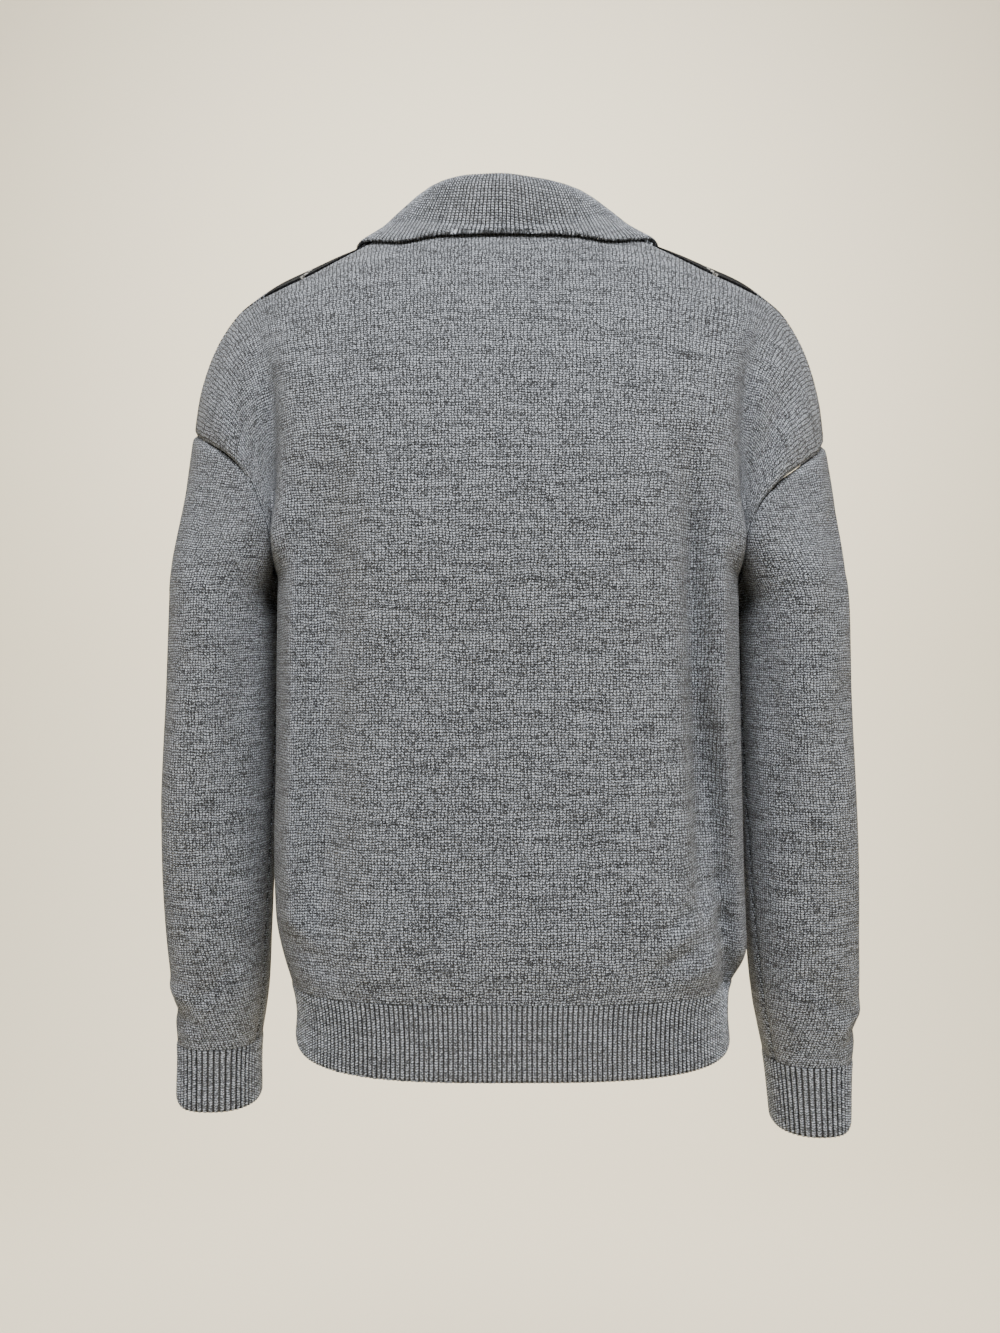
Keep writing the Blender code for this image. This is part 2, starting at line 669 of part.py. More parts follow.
def main():
    for existing in list(bpy.data.objects):
        bpy.data.objects.remove(existing)
    garment = bpy.data.collections.new("argyle_polo_sweater")
    bpy.context.scene.collection.children.link(garment)
    grey = knit_material("grey_knit", (0.26, 0.27, 0.28))
    argyle = knit_material("argyle_knit", (0.20, 0.20, 0.21))
    rib = knit_material("grey_rib", (0.25, 0.26, 0.27))

    body_middle = np.array([0.0, 0.0, -0.35])
    sheets = {
        "back": face_outwards(whole_panel("back"), body_middle),
        "front": face_outwards(whole_panel("front"), body_middle),
        "hem_rib_back": face_outwards(hem_rib("back"), body_middle),
        "hem_rib_front": face_outwards(hem_rib("front"), body_middle),
    }
    for side in ("left", "right"):
        sleeve_middle = np.array([SIGN[side] * 0.215, 0.0, -0.40])
        sheets["sleeve_" + side] = face_outwards(sleeve(side), sleeve_middle)
        sheets["cuff_" + side] = face_outwards(cuff(side), sleeve_middle)
    normals = shared_normals(sheets)
    for name, sheet in sheets.items():
        sheets[name] = sheet + normals[name] * crease_depth(sheet, normals[name])[..., None]
    normals = shared_normals(sheets)

    for name, sheet in sheets.items():
        ribbed = name.startswith(("hem", "cuff"))
        tube = name.startswith(("sleeve", "cuff"))
        material = rib if ribbed else argyle if name == "front" else grey
        cloth_wall(name, sheet, normals[name], RIB if ribbed else CLOTH, material, closed=tube)

    folded = {"collar": face_outwards(collar(), np.array([0.0, 0.0, -0.05]))}
    cloth_wall("collar", folded["collar"], shared_normals(folded)["collar"], RIB, rib)


main()
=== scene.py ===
import math
from collections import namedtuple

import bpy
import numpy as np
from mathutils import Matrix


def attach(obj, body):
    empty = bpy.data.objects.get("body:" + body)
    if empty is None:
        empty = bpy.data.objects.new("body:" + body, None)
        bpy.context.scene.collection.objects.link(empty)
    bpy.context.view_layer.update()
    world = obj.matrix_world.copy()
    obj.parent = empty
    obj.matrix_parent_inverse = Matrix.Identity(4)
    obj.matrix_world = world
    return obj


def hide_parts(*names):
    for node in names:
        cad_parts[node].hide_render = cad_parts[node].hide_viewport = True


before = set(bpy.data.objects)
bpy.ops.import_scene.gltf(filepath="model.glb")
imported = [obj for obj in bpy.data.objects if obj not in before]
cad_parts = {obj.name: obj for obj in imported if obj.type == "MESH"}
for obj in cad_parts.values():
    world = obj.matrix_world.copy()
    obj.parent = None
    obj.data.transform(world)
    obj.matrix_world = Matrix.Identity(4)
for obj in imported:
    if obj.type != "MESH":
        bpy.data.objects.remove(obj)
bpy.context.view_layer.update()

# ---- The view ----
# A level camera behind the wearer, at the height of the sweater's middle, as close as a garment
# on a stand is looked at.
VIEW_DISTANCE = 1.05
VIEW_ACROSS = 0.0046
VIEW_HEIGHT = -0.328
FRAME_AT_ONE_METRE = 0.969455  # metres of height that the view takes in at one metre
SENSOR = 36.0
bpy.ops.object.camera_add(
    location=(VIEW_ACROSS, VIEW_DISTANCE, VIEW_HEIGHT), rotation=(math.pi / 2, 0, math.pi)
)
camera = bpy.context.object
camera.name = "camera"
camera.data.sensor_fit = "VERTICAL"
camera.data.sensor_height = SENSOR
camera.data.lens = SENSOR / FRAME_AT_ONE_METRE
bpy.context.scene.camera = camera

# ---- The studio ----
# A pale floor that curves up into a pale wall behind the sweater, on the side away from the
# camera. It is painted board, matt, and far enough off to catch no shadow.
FLOOR_HEIGHT = -1.45
FLOOR_SIDE = 12.0
WALL_DISTANCE = 3.2
WALL_RISE = 7.0
COVE_RADIUS = 1.2
bpy.ops.object.select_all(action="DESELECT")
bpy.ops.mesh.primitive_plane_add(
    size=FLOOR_SIDE, location=(0, FLOOR_SIDE / 2 - WALL_DISTANCE, FLOOR_HEIGHT)
)
cove = bpy.context.object
cove.name = "studio_cove"
bpy.ops.object.transform_apply(location=True, rotation=False, scale=False)
bpy.ops.object.mode_set(mode="EDIT")
bpy.ops.mesh.select_mode(type="EDGE")
bpy.ops.mesh.select_all(action="DESELECT")
bpy.ops.object.mode_set(mode="OBJECT")
for edge in cove.data.edges:
    ends = [cove.data.vertices[k].co.y for k in edge.vertices]
    edge.select = max(ends) < 0
bpy.ops.object.mode_set(mode="EDIT")
bpy.ops.mesh.extrude_region_move(TRANSFORM_OT_translate={"value": (0, 0, WALL_RISE)})
bpy.ops.mesh.select_all(action="DESELECT")
bpy.ops.object.mode_set(mode="OBJECT")
for edge in cove.data.edges:
    ends = [cove.data.vertices[k].co for k in edge.vertices]
    edge.select = all(end.y < 0 and end.z < FLOOR_HEIGHT + 0.01 for end in ends)
bpy.ops.object.mode_set(mode="EDIT")
bpy.ops.mesh.bevel(offset=COVE_RADIUS, segments=24, profile=0.5)
bpy.ops.object.mode_set(mode="OBJECT")
bpy.ops.object.shade_smooth()
cove_paint = bpy.data.materials.new("pale board")
cove_paint.use_nodes = True
paint_shader = cove_paint.node_tree.nodes["Principled BSDF"]
paint_shader.inputs["Base Color"].default_value = (0.835, 0.745, 0.56, 1.0)
paint_shader.inputs["Roughness"].default_value = 0.9
cove.data.materials.append(cove_paint)

# Softboxes: where each is, what it points at, its side in metres and its power in watts. A broad
# one hangs over the camera, a weak one is on each side of it, one lights the wall, and one hangs
# over the garment's front, out of the view.
SOFTBOXES = {
    "softbox_above": ((-0.1, 1.6, 1.25), (0, 0.0, -0.2), 1.2, 69.0),
    "softbox_left": ((2.3, 0.9, 0.3), (0, 0.0, -0.3), 1.6, 3.0),
    "softbox_right": ((-2.3, 0.9, 0.3), (0, 0.0, -0.3), 1.6, 4.0),
    "softbox_wall": ((0.0, -1.0, 0.9), (0, -3.2, 0.1), 2.4, 152.0),
    "softbox_front": ((0.5, -1.7, 1.9), (0, 0.0, -0.3), 1.2, 28.0),
}
for name, (place, aim, size, power) in SOFTBOXES.items():
    bpy.ops.object.light_add(type="AREA", location=place)
    softbox = bpy.context.object
    softbox.name = name
    softbox.data.size = size
    softbox.data.energy = power
    away = softbox.location - type(softbox.location)(aim)
    softbox.rotation_euler = away.to_track_quat("Z", "Y").to_euler()
world = bpy.data.worlds.new("soft daylight")
world.use_nodes = True
world.node_tree.nodes["Background"].inputs["Color"].default_value = (1.0, 0.985, 0.96, 1.0)
world.node_tree.nodes["Background"].inputs["Strength"].default_value = 0.205
bpy.context.scene.world = world

# ---- The back ----
# One plain piece of fine heathered grey knit, from the hem's rib up to the neckline and the
# shoulder seams. Its shoulders are dropped, so that its sides go out over the arms to the
# armhole seams, and it folds into a crease beside each armpit.
CLOTH = 0.0022
SEAM_GAP = 0.0004
PANEL_HALF = 0.270  # a panel's flat width from its centre to its side
UNDERARM = -0.262
HEM = -0.609
HEM_RIB_TOP = -0.556
CREST_BACK = -0.005
NECK_RISE = 0.013
DOME = 2.2
DOME_NARROWING = 1.6
NECK_SHARE = 0.32
ARM_BLEND = 0.50
ARM_START = 0.60
ARM_FOLD = 0.70
ARM_MIDDLE = 0.85
ARM_ROWS_GATHERED = 0.3
BODY_SQUARENESS = 3.3
SIGN = {"left": 1.0, "right": -1.0}


def rows_of(kind, *rows):
    """A table's rows, with their columns named."""
    return tuple(kind(*row) for row in rows)


# The body tube, from the hem up: half widths to the wearer's left and right, depths from the centre.
BodyRing = namedtuple("BodyRing", "height left right back front")
BODY_RINGS = rows_of(
    BodyRing,
    (-0.609, 0.1550, 0.1645, 0.125, 0.113),
    (-0.582, 0.1540, 0.1630, 0.126, 0.114),
    (-0.556, 0.1580, 0.1665, 0.127, 0.117),
    (-0.540, 0.1630, 0.1755, 0.129, 0.120),
    (-0.520, 0.1680, 0.1765, 0.130, 0.121),
    (-0.480, 0.1710, 0.1755, 0.127, 0.122),
    (-0.400, 0.1705, 0.1740, 0.121, 0.124),
    (-0.320, 0.1700, 0.1725, 0.119, 0.130),
    (-0.262, 0.1690, 0.1715, 0.121, 0.135),
)

# The crest of each shoulder, from the neck out to the sleeve: distance from the centre and height.
CrestPoint = namedtuple("CrestPoint", "out height")
SHOULDER_CREST = {
    "left": rows_of(
        CrestPoint,
        (0.087, 0.000),
        (0.123, -0.016),
        (0.157, -0.031),
        (0.184, -0.044),
        (0.205, -0.061),
        (0.220, -0.083),
        (0.231, -0.107),
        (0.237, -0.128),
        (0.240, -0.150),
    ),
    "right": rows_of(
        CrestPoint,
        (0.087, 0.001),
        (0.121, -0.012),
        (0.150, -0.024),
        (0.182, -0.038),
        (0.207, -0.056),
        (0.226, -0.083),
        (0.235, -0.107),
        (0.242, -0.136),
        (0.245, -0.158),
    ),
}

# Wales near an arm, from just above the underarm round to just short of the crest: the armhole
# seam, the crease where the cloth turns from the body onto the arm, and one between them.
WalePoint = namedtuple("WalePoint", "out deep height")
ARMHOLE = {
    "left": rows_of(
        WalePoint,
        (0.1690, 0.027, -0.2545),
        (0.1692, 0.048, -0.2465),
        (0.1700, 0.063, -0.2340),
        (0.1755, 0.070, -0.2120),
        (0.1875, 0.067, -0.1890),
        (0.2060, 0.056, -0.1735),
        (0.2270, 0.034, -0.1600),
    ),
    "right": rows_of(
        WalePoint,
        (0.1715, 0.027, -0.2555),
        (0.1717, 0.048, -0.2480),
        (0.1725, 0.063, -0.2360),
        (0.1785, 0.069, -0.2165),
        (0.1950, 0.062, -0.1980),
        (0.2160, 0.046, -0.1820),
        (0.2330, 0.028, -0.1700),
    ),
}
ARM_CREASE = {
    "left": rows_of(
        WalePoint,
        (0.1640, 0.084, -0.236),
        (0.1645, 0.074, -0.208),
        (0.1640, 0.068, -0.182),
        (0.1655, 0.066, -0.150),
        (0.1710, 0.062, -0.118),
        (0.1810, 0.049, -0.088),
        (0.1930, 0.027, -0.066),
    ),
    "right": rows_of(
        WalePoint,
        (0.1665, 0.084, -0.238),
        (0.1670, 0.074, -0.210),
        (0.1665, 0.068, -0.184),
        (0.1680, 0.066, -0.150),
        (0.1740, 0.062, -0.116),
        (0.1860, 0.049, -0.085),
        (0.1990, 0.027, -0.065),
    ),
}
ARM_SIDE = {
    "left": rows_of(
        WalePoint,
        (0.1680, 0.046, -0.2570),
        (0.1668, 0.061, -0.2480),
        (0.1657, 0.069, -0.2340),
        (0.1660, 0.065, -0.2120),
        (0.1700, 0.065, -0.1860),
        (0.1800, 0.068, -0.1610),
        (0.1930, 0.062, -0.1370),
        (0.2090, 0.044, -0.1180),
        (0.2210, 0.022, -0.1060),
    ),
    "right": rows_of(
        WalePoint,
        (0.1705, 0.046, -0.2575),
        (0.1693, 0.061, -0.2490),
        (0.1682, 0.069, -0.2360),
        (0.1685, 0.065, -0.2140),
        (0.1725, 0.065, -0.1880),
        (0.1840, 0.067, -0.1640),
        (0.1975, 0.060, -0.1410),
        (0.2140, 0.042, -0.1220),
        (0.2270, 0.021, -0.1100),
    ),
}

# Where the neckline cuts the shoulders' dome, as turns in degrees: 0 is the crest, 90 the back at
# the underarm's height and -90 the front there.
NeckPoint = namedtuple("NeckPoint", "share back front")
NECKLINE = rows_of(
    NeckPoint,
    (0.00, 25.8, -67.0),
    (0.08, 25.0, -58.0),
    (0.16, 22.0, -47.0),
    (0.24, 16.0, -33.0),
    (0.29, 11.0, -17.0),
    (0.32, 6.0, 6.0),
)

# How far the shoulder seam lies behind the crest, as turns too: the front reaches over the shoulder.
SeamPlace = namedtuple("SeamPlace", "share turn")
SHOULDER_SEAM = rows_of(
    SeamPlace,
    (0.32, 6.0),
    (0.40, 14.0),
    (0.50, 18.0),
    (0.60, 17.0),
    (0.70, 10.0),
    (0.85, 8.0),
    (1.00, 7.0),
)

# The sheets are worked out at these shares of a half panel's width and this many rows, and then
# read more finely from smooth curves through those points.
SHARES = (0.0, 0.08, 0.16, 0.24, 0.29, 0.32, 0.41, 0.51, 0.60, 0.65, 0.70, 0.79, 0.89, 1.0)
BODY_ROWS = 14
YOKE_ROWS = 20
FACE_SIDE = 0.0031  # side of a face of the finished cloth
CURVE_POINTS = 160
LINE_POINTS = 80
CREST_MARKS = 9
NECK_MARKS = (0.0, 0.25, 0.6)
NEAR_EDGE = (0.0011, 0.0024)  # extra rows of points beside a sheet's edges


def spline(keys, values, at):
    """A smooth curve through values at rising keys, read at the places in at."""
    keys = np.asarray(keys, float)
    values = np.asarray(values, float)
    at = np.clip(np.asarray(at, float), keys[0], keys[-1])
    slopes = np.gradient(values, keys, axis=0)
    i = np.clip(np.searchsorted(keys, at, side="right") - 1, 0, len(keys) - 2)
    span = keys[i + 1] - keys[i]
    t = (at - keys[i]) / span
    extra = (1,) * (values.ndim - 1)
    t = t.reshape(t.shape + extra)
    span = span.reshape(span.shape + extra)
    start = values[i] * (2 * t**3 - 3 * t**2 + 1) + slopes[i] * span * (t**3 - 2 * t**2 + t)
    end = values[i + 1] * (3 * t**2 - 2 * t**3) + slopes[i + 1] * span * (t**3 - t**2)
    return start + end


def column(table, name):
    """One column of a table."""
    return [getattr(row, name) for row in table]


def along(points, shares):
    """Points at the given shares of a polyline's length."""
    steps = np.linalg.norm(np.diff(points, axis=0), axis=1)
    length = np.concatenate([[0.0], np.cumsum(steps)])
    places = np.asarray(shares) * length[-1]
    return np.stack([np.interp(places, length, points[:, k]) for k in range(3)], axis=-1)


def superellipse(turns, squareness):
    """Sine and cosine raised so that a round outline becomes a squarer one."""
    power = 2.0 / squareness
    sine = np.sin(turns)
    cosine = np.cos(turns)
    return np.sign(sine) * abs(sine) ** power, np.sign(cosine) * abs(cosine) ** power


def body_half_ring(side, face, height, shares):
    """Points of the body tube at one height, from the centre of a face to the side seam."""
    heights = column(BODY_RINGS, "height")
    wide = spline(heights, column(BODY_RINGS, side), height)
    deep = spline(heights, column(BODY_RINGS, face), height)
    sine, cosine = superellipse(np.linspace(0, math.pi / 2, CURVE_POINTS), BODY_SQUARENESS)
    level = np.full(CURVE_POINTS, height)
    outline = np.stack([SIGN[side] * wide * sine, deep * cosine, level], axis=-1)
    if face == "front":
        outline[:, 1] *= -1
    return along(outline, shares)


def crest_points(side, shares):
    """The shoulders' crest above each share of a half panel."""
    shares = np.asarray(shares, float)
    table = SHOULDER_CREST[side]
    keys = np.linspace(0, 1, len(table))
    fine = np.linspace(0, 1, LINE_POINTS)
    line = np.stack(
        [
            SIGN[side] * spline(keys, column(table, "out"), fine),
            np.full(LINE_POINTS, CREST_BACK),
            spline(keys, column(table, "height"), fine),
        ],
        axis=-1,
    )
    places = [*(k * NECK_SHARE for k in NECK_MARKS), *np.linspace(NECK_SHARE, 1, CREST_MARKS)]
    shoulder = along(line, np.linspace(0, 1, CREST_MARKS))
    neck = [shoulder[0] * [k, 1, 0] + [0, 0, NECK_RISE * (1 - k**2)] for k in NECK_MARKS]
    return spline(places, np.concatenate([neck, shoulder]), shares)


def dome(side, shares, turns):
    """Points on the shoulders' dome: shares across a half panel, turns in degrees over the crest."""
    shares = np.atleast_1d(np.asarray(shares, float))
    turns = np.radians(np.atleast_1d(np.asarray(turns, float)))
    crest = crest_points(side, shares)
    base_back = body_half_ring(side, "back", UNDERARM, shares)
    base_front = body_half_ring(side, "front", UNDERARM, shares)
    base = np.where((turns >= 0)[:, None], base_back, base_front)
    swing, rise = superellipse(abs(turns), DOME)
    points = base + (crest - base) * rise[:, None]
    points[:, 0] = base[:, 0] + (crest[:, 0] - base[:, 0]) * rise**DOME_NARROWING
    points[:, 1] = crest[:, 1] + (base[:, 1] - crest[:, 1]) * swing
    return points


def top_turn(face, share):
    """The turn at which a panel's wale ends, at its neckline or shoulder seam."""
    if share >= NECK_SHARE:
        return float(spline(column(SHOULDER_SEAM, "share"), column(SHOULDER_SEAM, "turn"), share))
    return float(spline(column(NECKLINE, "share"), column(NECKLINE, face), share))


def arm_wale(side, face, share, table, shares):
    """Points on a wale near the arm, from the underarm's height to the shoulder seam."""
    shares = np.asarray(shares) ** (1 + ARM_ROWS_GATHERED * share)
    depth = 1.0 if face == "back" else -1.0
    start = body_half_ring(side, face, UNDERARM, [share])
    middle = [(SIGN[side] * p.out, depth * p.deep, p.height) for p in table[side]]
    top = dome(side, [share, share], [0.0, top_turn(face, share)])
    ends = top[1:] if face == "back" else top
    keys = np.concatenate([start, middle, ends])
    fine = spline(np.arange(len(keys)), keys, np.linspace(0, len(keys) - 1, CURVE_POINTS))
    return along(fine, shares)


def dome_wale(side, face, share, shares):
    """Points on a wale over the shoulders' dome, from the underarm's height to its end."""
    start = 90.0 if face == "back" else -90.0
    turns = np.linspace(start, top_turn(face, share), LINE_POINTS)
    return along(dome(side, np.full(LINE_POINTS, share), turns), shares)


def yoke_wale(side, face, share, shares):
    """Points on any wale above the underarm's height."""
    if share <= ARM_START:
        return dome_wale(side, face, share, shares)
    stack = [dome_wale(side, face, s, shares) for s in (ARM_BLEND, ARM_START)]
    for place, table in ((ARM_FOLD, ARM_CREASE), (ARM_MIDDLE, ARM_SIDE), (1.0, ARMHOLE)):
        stack.append(arm_wale(side, face, place, table, shares))
    keys = (ARM_BLEND, ARM_START, ARM_FOLD, ARM_MIDDLE, 1.0)
    return spline(keys, np.stack(stack), np.full(1, share))[0]


def half_panel(side, face):
    """Rows and columns of one half of a front or back panel, above the hem's rib."""
    body_heights = np.linspace(HEM_RIB_TOP, UNDERARM, BODY_ROWS, endpoint=False)
    body = [body_half_ring(side, face, height, SHARES) for height in body_heights]
    yoke_rows = np.linspace(0, 1, YOKE_ROWS + 1)
    yoke = np.stack([yoke_wale(side, face, share, yoke_rows) for share in SHARES], axis=1)
    yoke[0] = body_half_ring(side, face, UNDERARM, SHARES)
    return np.concatenate([np.stack(body), yoke])


def both_halves(left, right):
    """A sheet across the body from its halves, with how far each point lies across the knit."""
    across = np.array(SHARES) * PANEL_HALF
    points = np.concatenate([left[:, ::-1], right[:, 1:]], axis=1)
    knit_across = np.concatenate([across[::-1], -across[1:]])
    return with_stitches(points, np.broadcast_to(knit_across, points.shape[:2]))


def with_stitches(points, knit_across):
    """Adds each point's place in the knit, in metres: across its wales and up along them."""
    steps = np.linalg.norm(np.diff(points, axis=0), axis=-1)
    knit_along = np.concatenate([np.zeros((1, points.shape[1])), np.cumsum(steps, axis=0)])
    return np.concatenate([points, knit_across[..., None], knit_along[..., None]], axis=-1)


def face_outwards(sheet, inside):
    """Turns a sheet's columns round if its faces would point towards the inside point."""
    across = sheet[:-1, 1:, :3] - sheet[:-1, :-1, :3]
    up = sheet[1:, :-1, :3] - sheet[:-1, :-1, :3]
    if (np.cross(across, up) * (sheet[:-1, :-1, :3] - inside)).sum() < 0:
        return sheet[:, ::-1]
    return sheet


def finer(sheet, row_side, column_side):
    """A sheet read more finely, on smooth curves through its points."""
    for side in (row_side, column_side):
        steps = np.linalg.norm(np.diff(sheet[..., :3], axis=0), axis=-1).mean(axis=1)
        keys = np.concatenate([[0.0], np.cumsum(steps)])
        count = max(2, int(round(keys[-1] / side)))
        marks = np.linspace(0, keys[-1], count + 1)
        if side > 2 * NEAR_EDGE[0]:
            marks = np.sort(np.concatenate([marks, NEAR_EDGE, keys[-1] - np.array(NEAR_EDGE)]))
        sheet = spline(keys, sheet, marks).swapaxes(0, 1)
    return sheet


def outward(sheet, closed=False):
    """The outward normal at every point of a sheet, the same on both sides of a closed tube's seam."""
    across = np.gradient(sheet[..., :3], axis=1)
    up = np.gradient(sheet[..., :3], axis=0)
    normal = np.cross(across, up)
    normal /= np.linalg.norm(normal, axis=-1, keepdims=True)
    if closed:
        normal[:, 0] += normal[:, -1]
        normal[:, 0] /= np.linalg.norm(normal[:, 0], axis=-1, keepdims=True)
        normal[:, -1] = normal[:, 0]
    return normal


SEAM_ROLL = 0.0055
SEAM_DEPTH = 0.0033


def turned_in(sheet, edges, reach, depth, closed=False, weight=1.0):
    """Rolls a sheet inwards beside the named edges, as at a seam or a soft edge."""
    normals = outward(sheet, closed)
    inwards = np.zeros(sheet.shape[:2])
    for edge in edges:
        up_and_down = edge in ("low", "high")
        steps = np.linalg.norm(np.diff(sheet[..., :3], axis=0 if up_and_down else 1), axis=-1)
        if up_and_down:
            away = np.concatenate([np.zeros((1, sheet.shape[1])), np.cumsum(steps, axis=0)])
            away = away if edge == "low" else away[-1:] - away
        else:
            away = np.concatenate([np.zeros((sheet.shape[0], 1)), np.cumsum(steps, axis=1)], axis=1)
            away = away if edge == "first" else away[:, -1:] - away
        inwards = np.maximum(inwards, depth * np.clip(1 - away / reach, 0, 1) ** 2)
    sheet = sheet.copy()
    sheet[..., :3] -= normals * (inwards * weight)[..., None]
    return sheet


def soft_step(value, low, high):
    """Rises smoothly from 0 to 1 between two values."""
    t = np.clip((value - low) / (high - low), 0, 1)
    return t * t * (3 - 2 * t)


# Folds of the body, each along a line seen from the front or the back: across and height of its
# two ends, its width, and its depth, which is negative for a trough and positive for a ridge.
Fold = namedtuple("Fold", "face across high across_end low width depth")
BODY_FOLDS = rows_of(
    Fold,
    ("back", 0.124, -0.130, 0.127, -0.560, 0.018, -0.0175),
    ("back", 0.149, -0.200, 0.152, -0.540, 0.008, 0.0110),
    ("back", -0.1280, -0.150, -0.1385, -0.540, 0.0085, -0.0330),
    ("back", -0.1400, -0.330, -0.1600, -0.590, 0.0085, -0.0330),
    ("back", -0.1500, -0.190, -0.1550, -0.500, 0.0065, 0.0100),
    ("back", 0.171, -0.095, 0.167, -0.235, 0.0055, -0.0060),
    ("back", 0.157, -0.120, 0.160, -0.270, 0.0090, 0.0020),
    ("back", 0.200, -0.120, 0.171, -0.215, 0.0080, -0.0040),
    ("back", 0.224, -0.118, 0.180, -0.216, 0.0100, 0.0034),
    ("back", -0.173, -0.093, -0.169, -0.235, 0.0055, -0.0060),
    ("back", -0.160, -0.118, -0.163, -0.270, 0.0090, 0.0020),
    ("back", -0.204, -0.118, -0.174, -0.212, 0.0085, -0.0045),
    ("back", -0.230, -0.124, -0.186, -0.214, 0.0100, 0.0034),
    ("back", 0.110, -0.150, 0.120, -0.330, 0.016, -0.0020),
    ("back", -0.110, -0.130, -0.126, -0.260, 0.014, -0.0022),
    ("back", -0.100, -0.512, -0.168, -0.468, 0.0070, -0.0030),
    ("back", -0.090, -0.528, -0.170, -0.486, 0.0060, 0.0026),
    ("back", -0.086, -0.542, -0.170, -0.503, 0.0060, -0.0030),
    ("back", -0.110, -0.549, -0.168, -0.520, 0.0060, 0.0024),
    ("back", 0.105, -0.545, 0.165, -0.510, 0.0080, -0.0026),
    ("back", 0.120, -0.530, 0.168, -0.488, 0.0080, 0.0022),
    ("back", 0.060, -0.430, 0.020, -0.540, 0.018, -0.0014),
    ("back", -0.040, -0.400, -0.070, -0.545, 0.020, -0.0016),
    ("front", 0.125, -0.240, 0.110, -0.500, 0.022, -0.0070),
    ("front", -0.120, -0.260, -0.130, -0.520, 0.020, -0.0080),
    ("front", 0.150, -0.200, 0.140, -0.420, 0.012, 0.0030),
    ("front", -0.148, -0.230, -0.155, -0.450, 0.013, 0.0026),
    ("front", 0.070, -0.260, 0.045, -0.480, 0.020, -0.0024),
    ("front", -0.060, -0.300, -0.085, -0.530, 0.018, -0.0024),
    ("front", 0.100, -0.540, 0.160, -0.505, 0.008, -0.0022),
    ("front", -0.100, -0.535, -0.165, -0.500, 0.008, -0.0024),
    ("front", 0.118, -0.120, 0.070, -0.235, 0.013, -0.0024),
    ("front", -0.120, -0.110, -0.080, -0.230, 0.014, -0.0026),
    ("front", 0.173, -0.105, 0.168, -0.268, 0.0070, -0.0070),
    ("front", -0.175, -0.105, -0.170, -0.268, 0.0070, -0.0070),
    ("front", 0.200, -0.120, 0.174, -0.215, 0.0090, -0.0036),
    ("front", -0.204, -0.122, -0.178, -0.212, 0.0090, -0.0036),
)
FOLD_FADE = {"high": 0.35, "low": 0.22}  # how much of its length a fold takes to grow at each end
FOLD_FACING = (0.05, 0.4)


def beside_fold(points, start, end):
    """How far along a fold's line flat points are, as a share of it, and how far off it."""
    line = np.subtract(end, start)
    length = np.linalg.norm(line)
    line = line / length
    points = points - start
    return (points @ line) / length, points @ np.array([-line[1], line[0]])


def folded_body(sheet):
    """Moves a body sheet's points to the front or back by the folds that cross them."""
    normals = outward(sheet)
    moved = np.zeros(sheet.shape[:2])
    flat = sheet[..., [0, 2]]
    for fold in BODY_FOLDS:
        start, end = (fold.across, fold.high), (fold.across_end, fold.low)
        run, away = beside_fold(flat, start, end)
        ends = soft_step(run, 0.0, FOLD_FADE["high"]) * soft_step(1 - run, 0.0, FOLD_FADE["low"])
        facing = normals[..., 1] if fold.face == "back" else -normals[..., 1]
        shown = soft_step(facing, *FOLD_FACING)
        moved += fold.depth * np.exp(-((away / fold.width) ** 2)) * ends * shown
    sheet = sheet.copy()
    sheet[..., 1] += np.sign(normals[..., 1]) * moved
    return sheet


def seam_allowed(sheet, closed=False):
    """Draws a sheet's edges in by half a seam's gap."""
    for turned in (sheet,) if closed else (sheet, sheet.swapaxes(0, 1)):
        for edge, inner in ((0, 1), (-1, -2)):
            step = turned[inner, :, :3] - turned[edge, :, :3]
            step /= np.linalg.norm(step, axis=-1, keepdims=True)
            turned[edge, :, :3] += step * SEAM_GAP / 2
    return sheet


WELD = 0.00002
SMOOTH_ANGLE = math.radians(50)


def knitted_piece(name, sheet, thickness, material, closed=False):
    """A grid laid over a sheet's points, with the knit's own map, and then given its thickness."""
    rows, columns = sheet.shape[:2]
    bpy.ops.object.select_all(action="DESELECT")
    bpy.ops.mesh.primitive_grid_add(x_subdivisions=columns - 1, y_subdivisions=rows - 1, size=1.0)
    piece = bpy.context.object
    piece.name = name
    mesh = piece.data
    mesh.name = name
    mesh.vertices.foreach_set("co", np.ascontiguousarray(sheet[..., :3], np.float32).ravel())
    corners = np.zeros(len(mesh.loops), np.int32)
    mesh.loops.foreach_get("vertex_index", corners)
    knit_map = np.ascontiguousarray(sheet[..., 3:5], np.float32).reshape(-1, 2)
    mesh.uv_layers[0].name = "knit"
    mesh.uv_layers[0].uv.foreach_set("vector", knit_map[corners].ravel())
    mesh.materials.append(material)
    if closed:
        bpy.ops.object.mode_set(mode="EDIT")
        bpy.ops.mesh.select_all(action="SELECT")
        bpy.ops.mesh.remove_doubles(threshold=WELD)
        bpy.ops.object.mode_set(mode="OBJECT")
    wall = piece.modifiers.new("thickness", "SOLIDIFY")
    wall.thickness = thickness
    wall.offset = -1.0
    bpy.ops.object.modifier_apply(modifier="thickness")
    bpy.ops.object.shade_smooth_by_angle(angle=SMOOTH_ANGLE)
    return piece


def feed(tree, socket, value):
    """Links an input to another node's output, or sets it to a plain value."""
    if isinstance(value, bpy.types.NodeSocket):
        tree.links.new(value, socket)
    elif value is not None:
        socket.default_value = value


def add_node(tree, kind, inputs=(), **settings):
    """A node with its settings, and its inputs linked or set in order."""
    made = tree.nodes.new(kind)
    for name, value in settings.items():
        setattr(made, name, value)
    for place, value in enumerate(inputs):
        feed(tree, made.inputs[place], value)
    return made


def figure(tree, operation, *inputs):
    """One step of arithmetic."""
    return add_node(tree, "ShaderNodeMath", inputs, operation=operation).outputs[0]


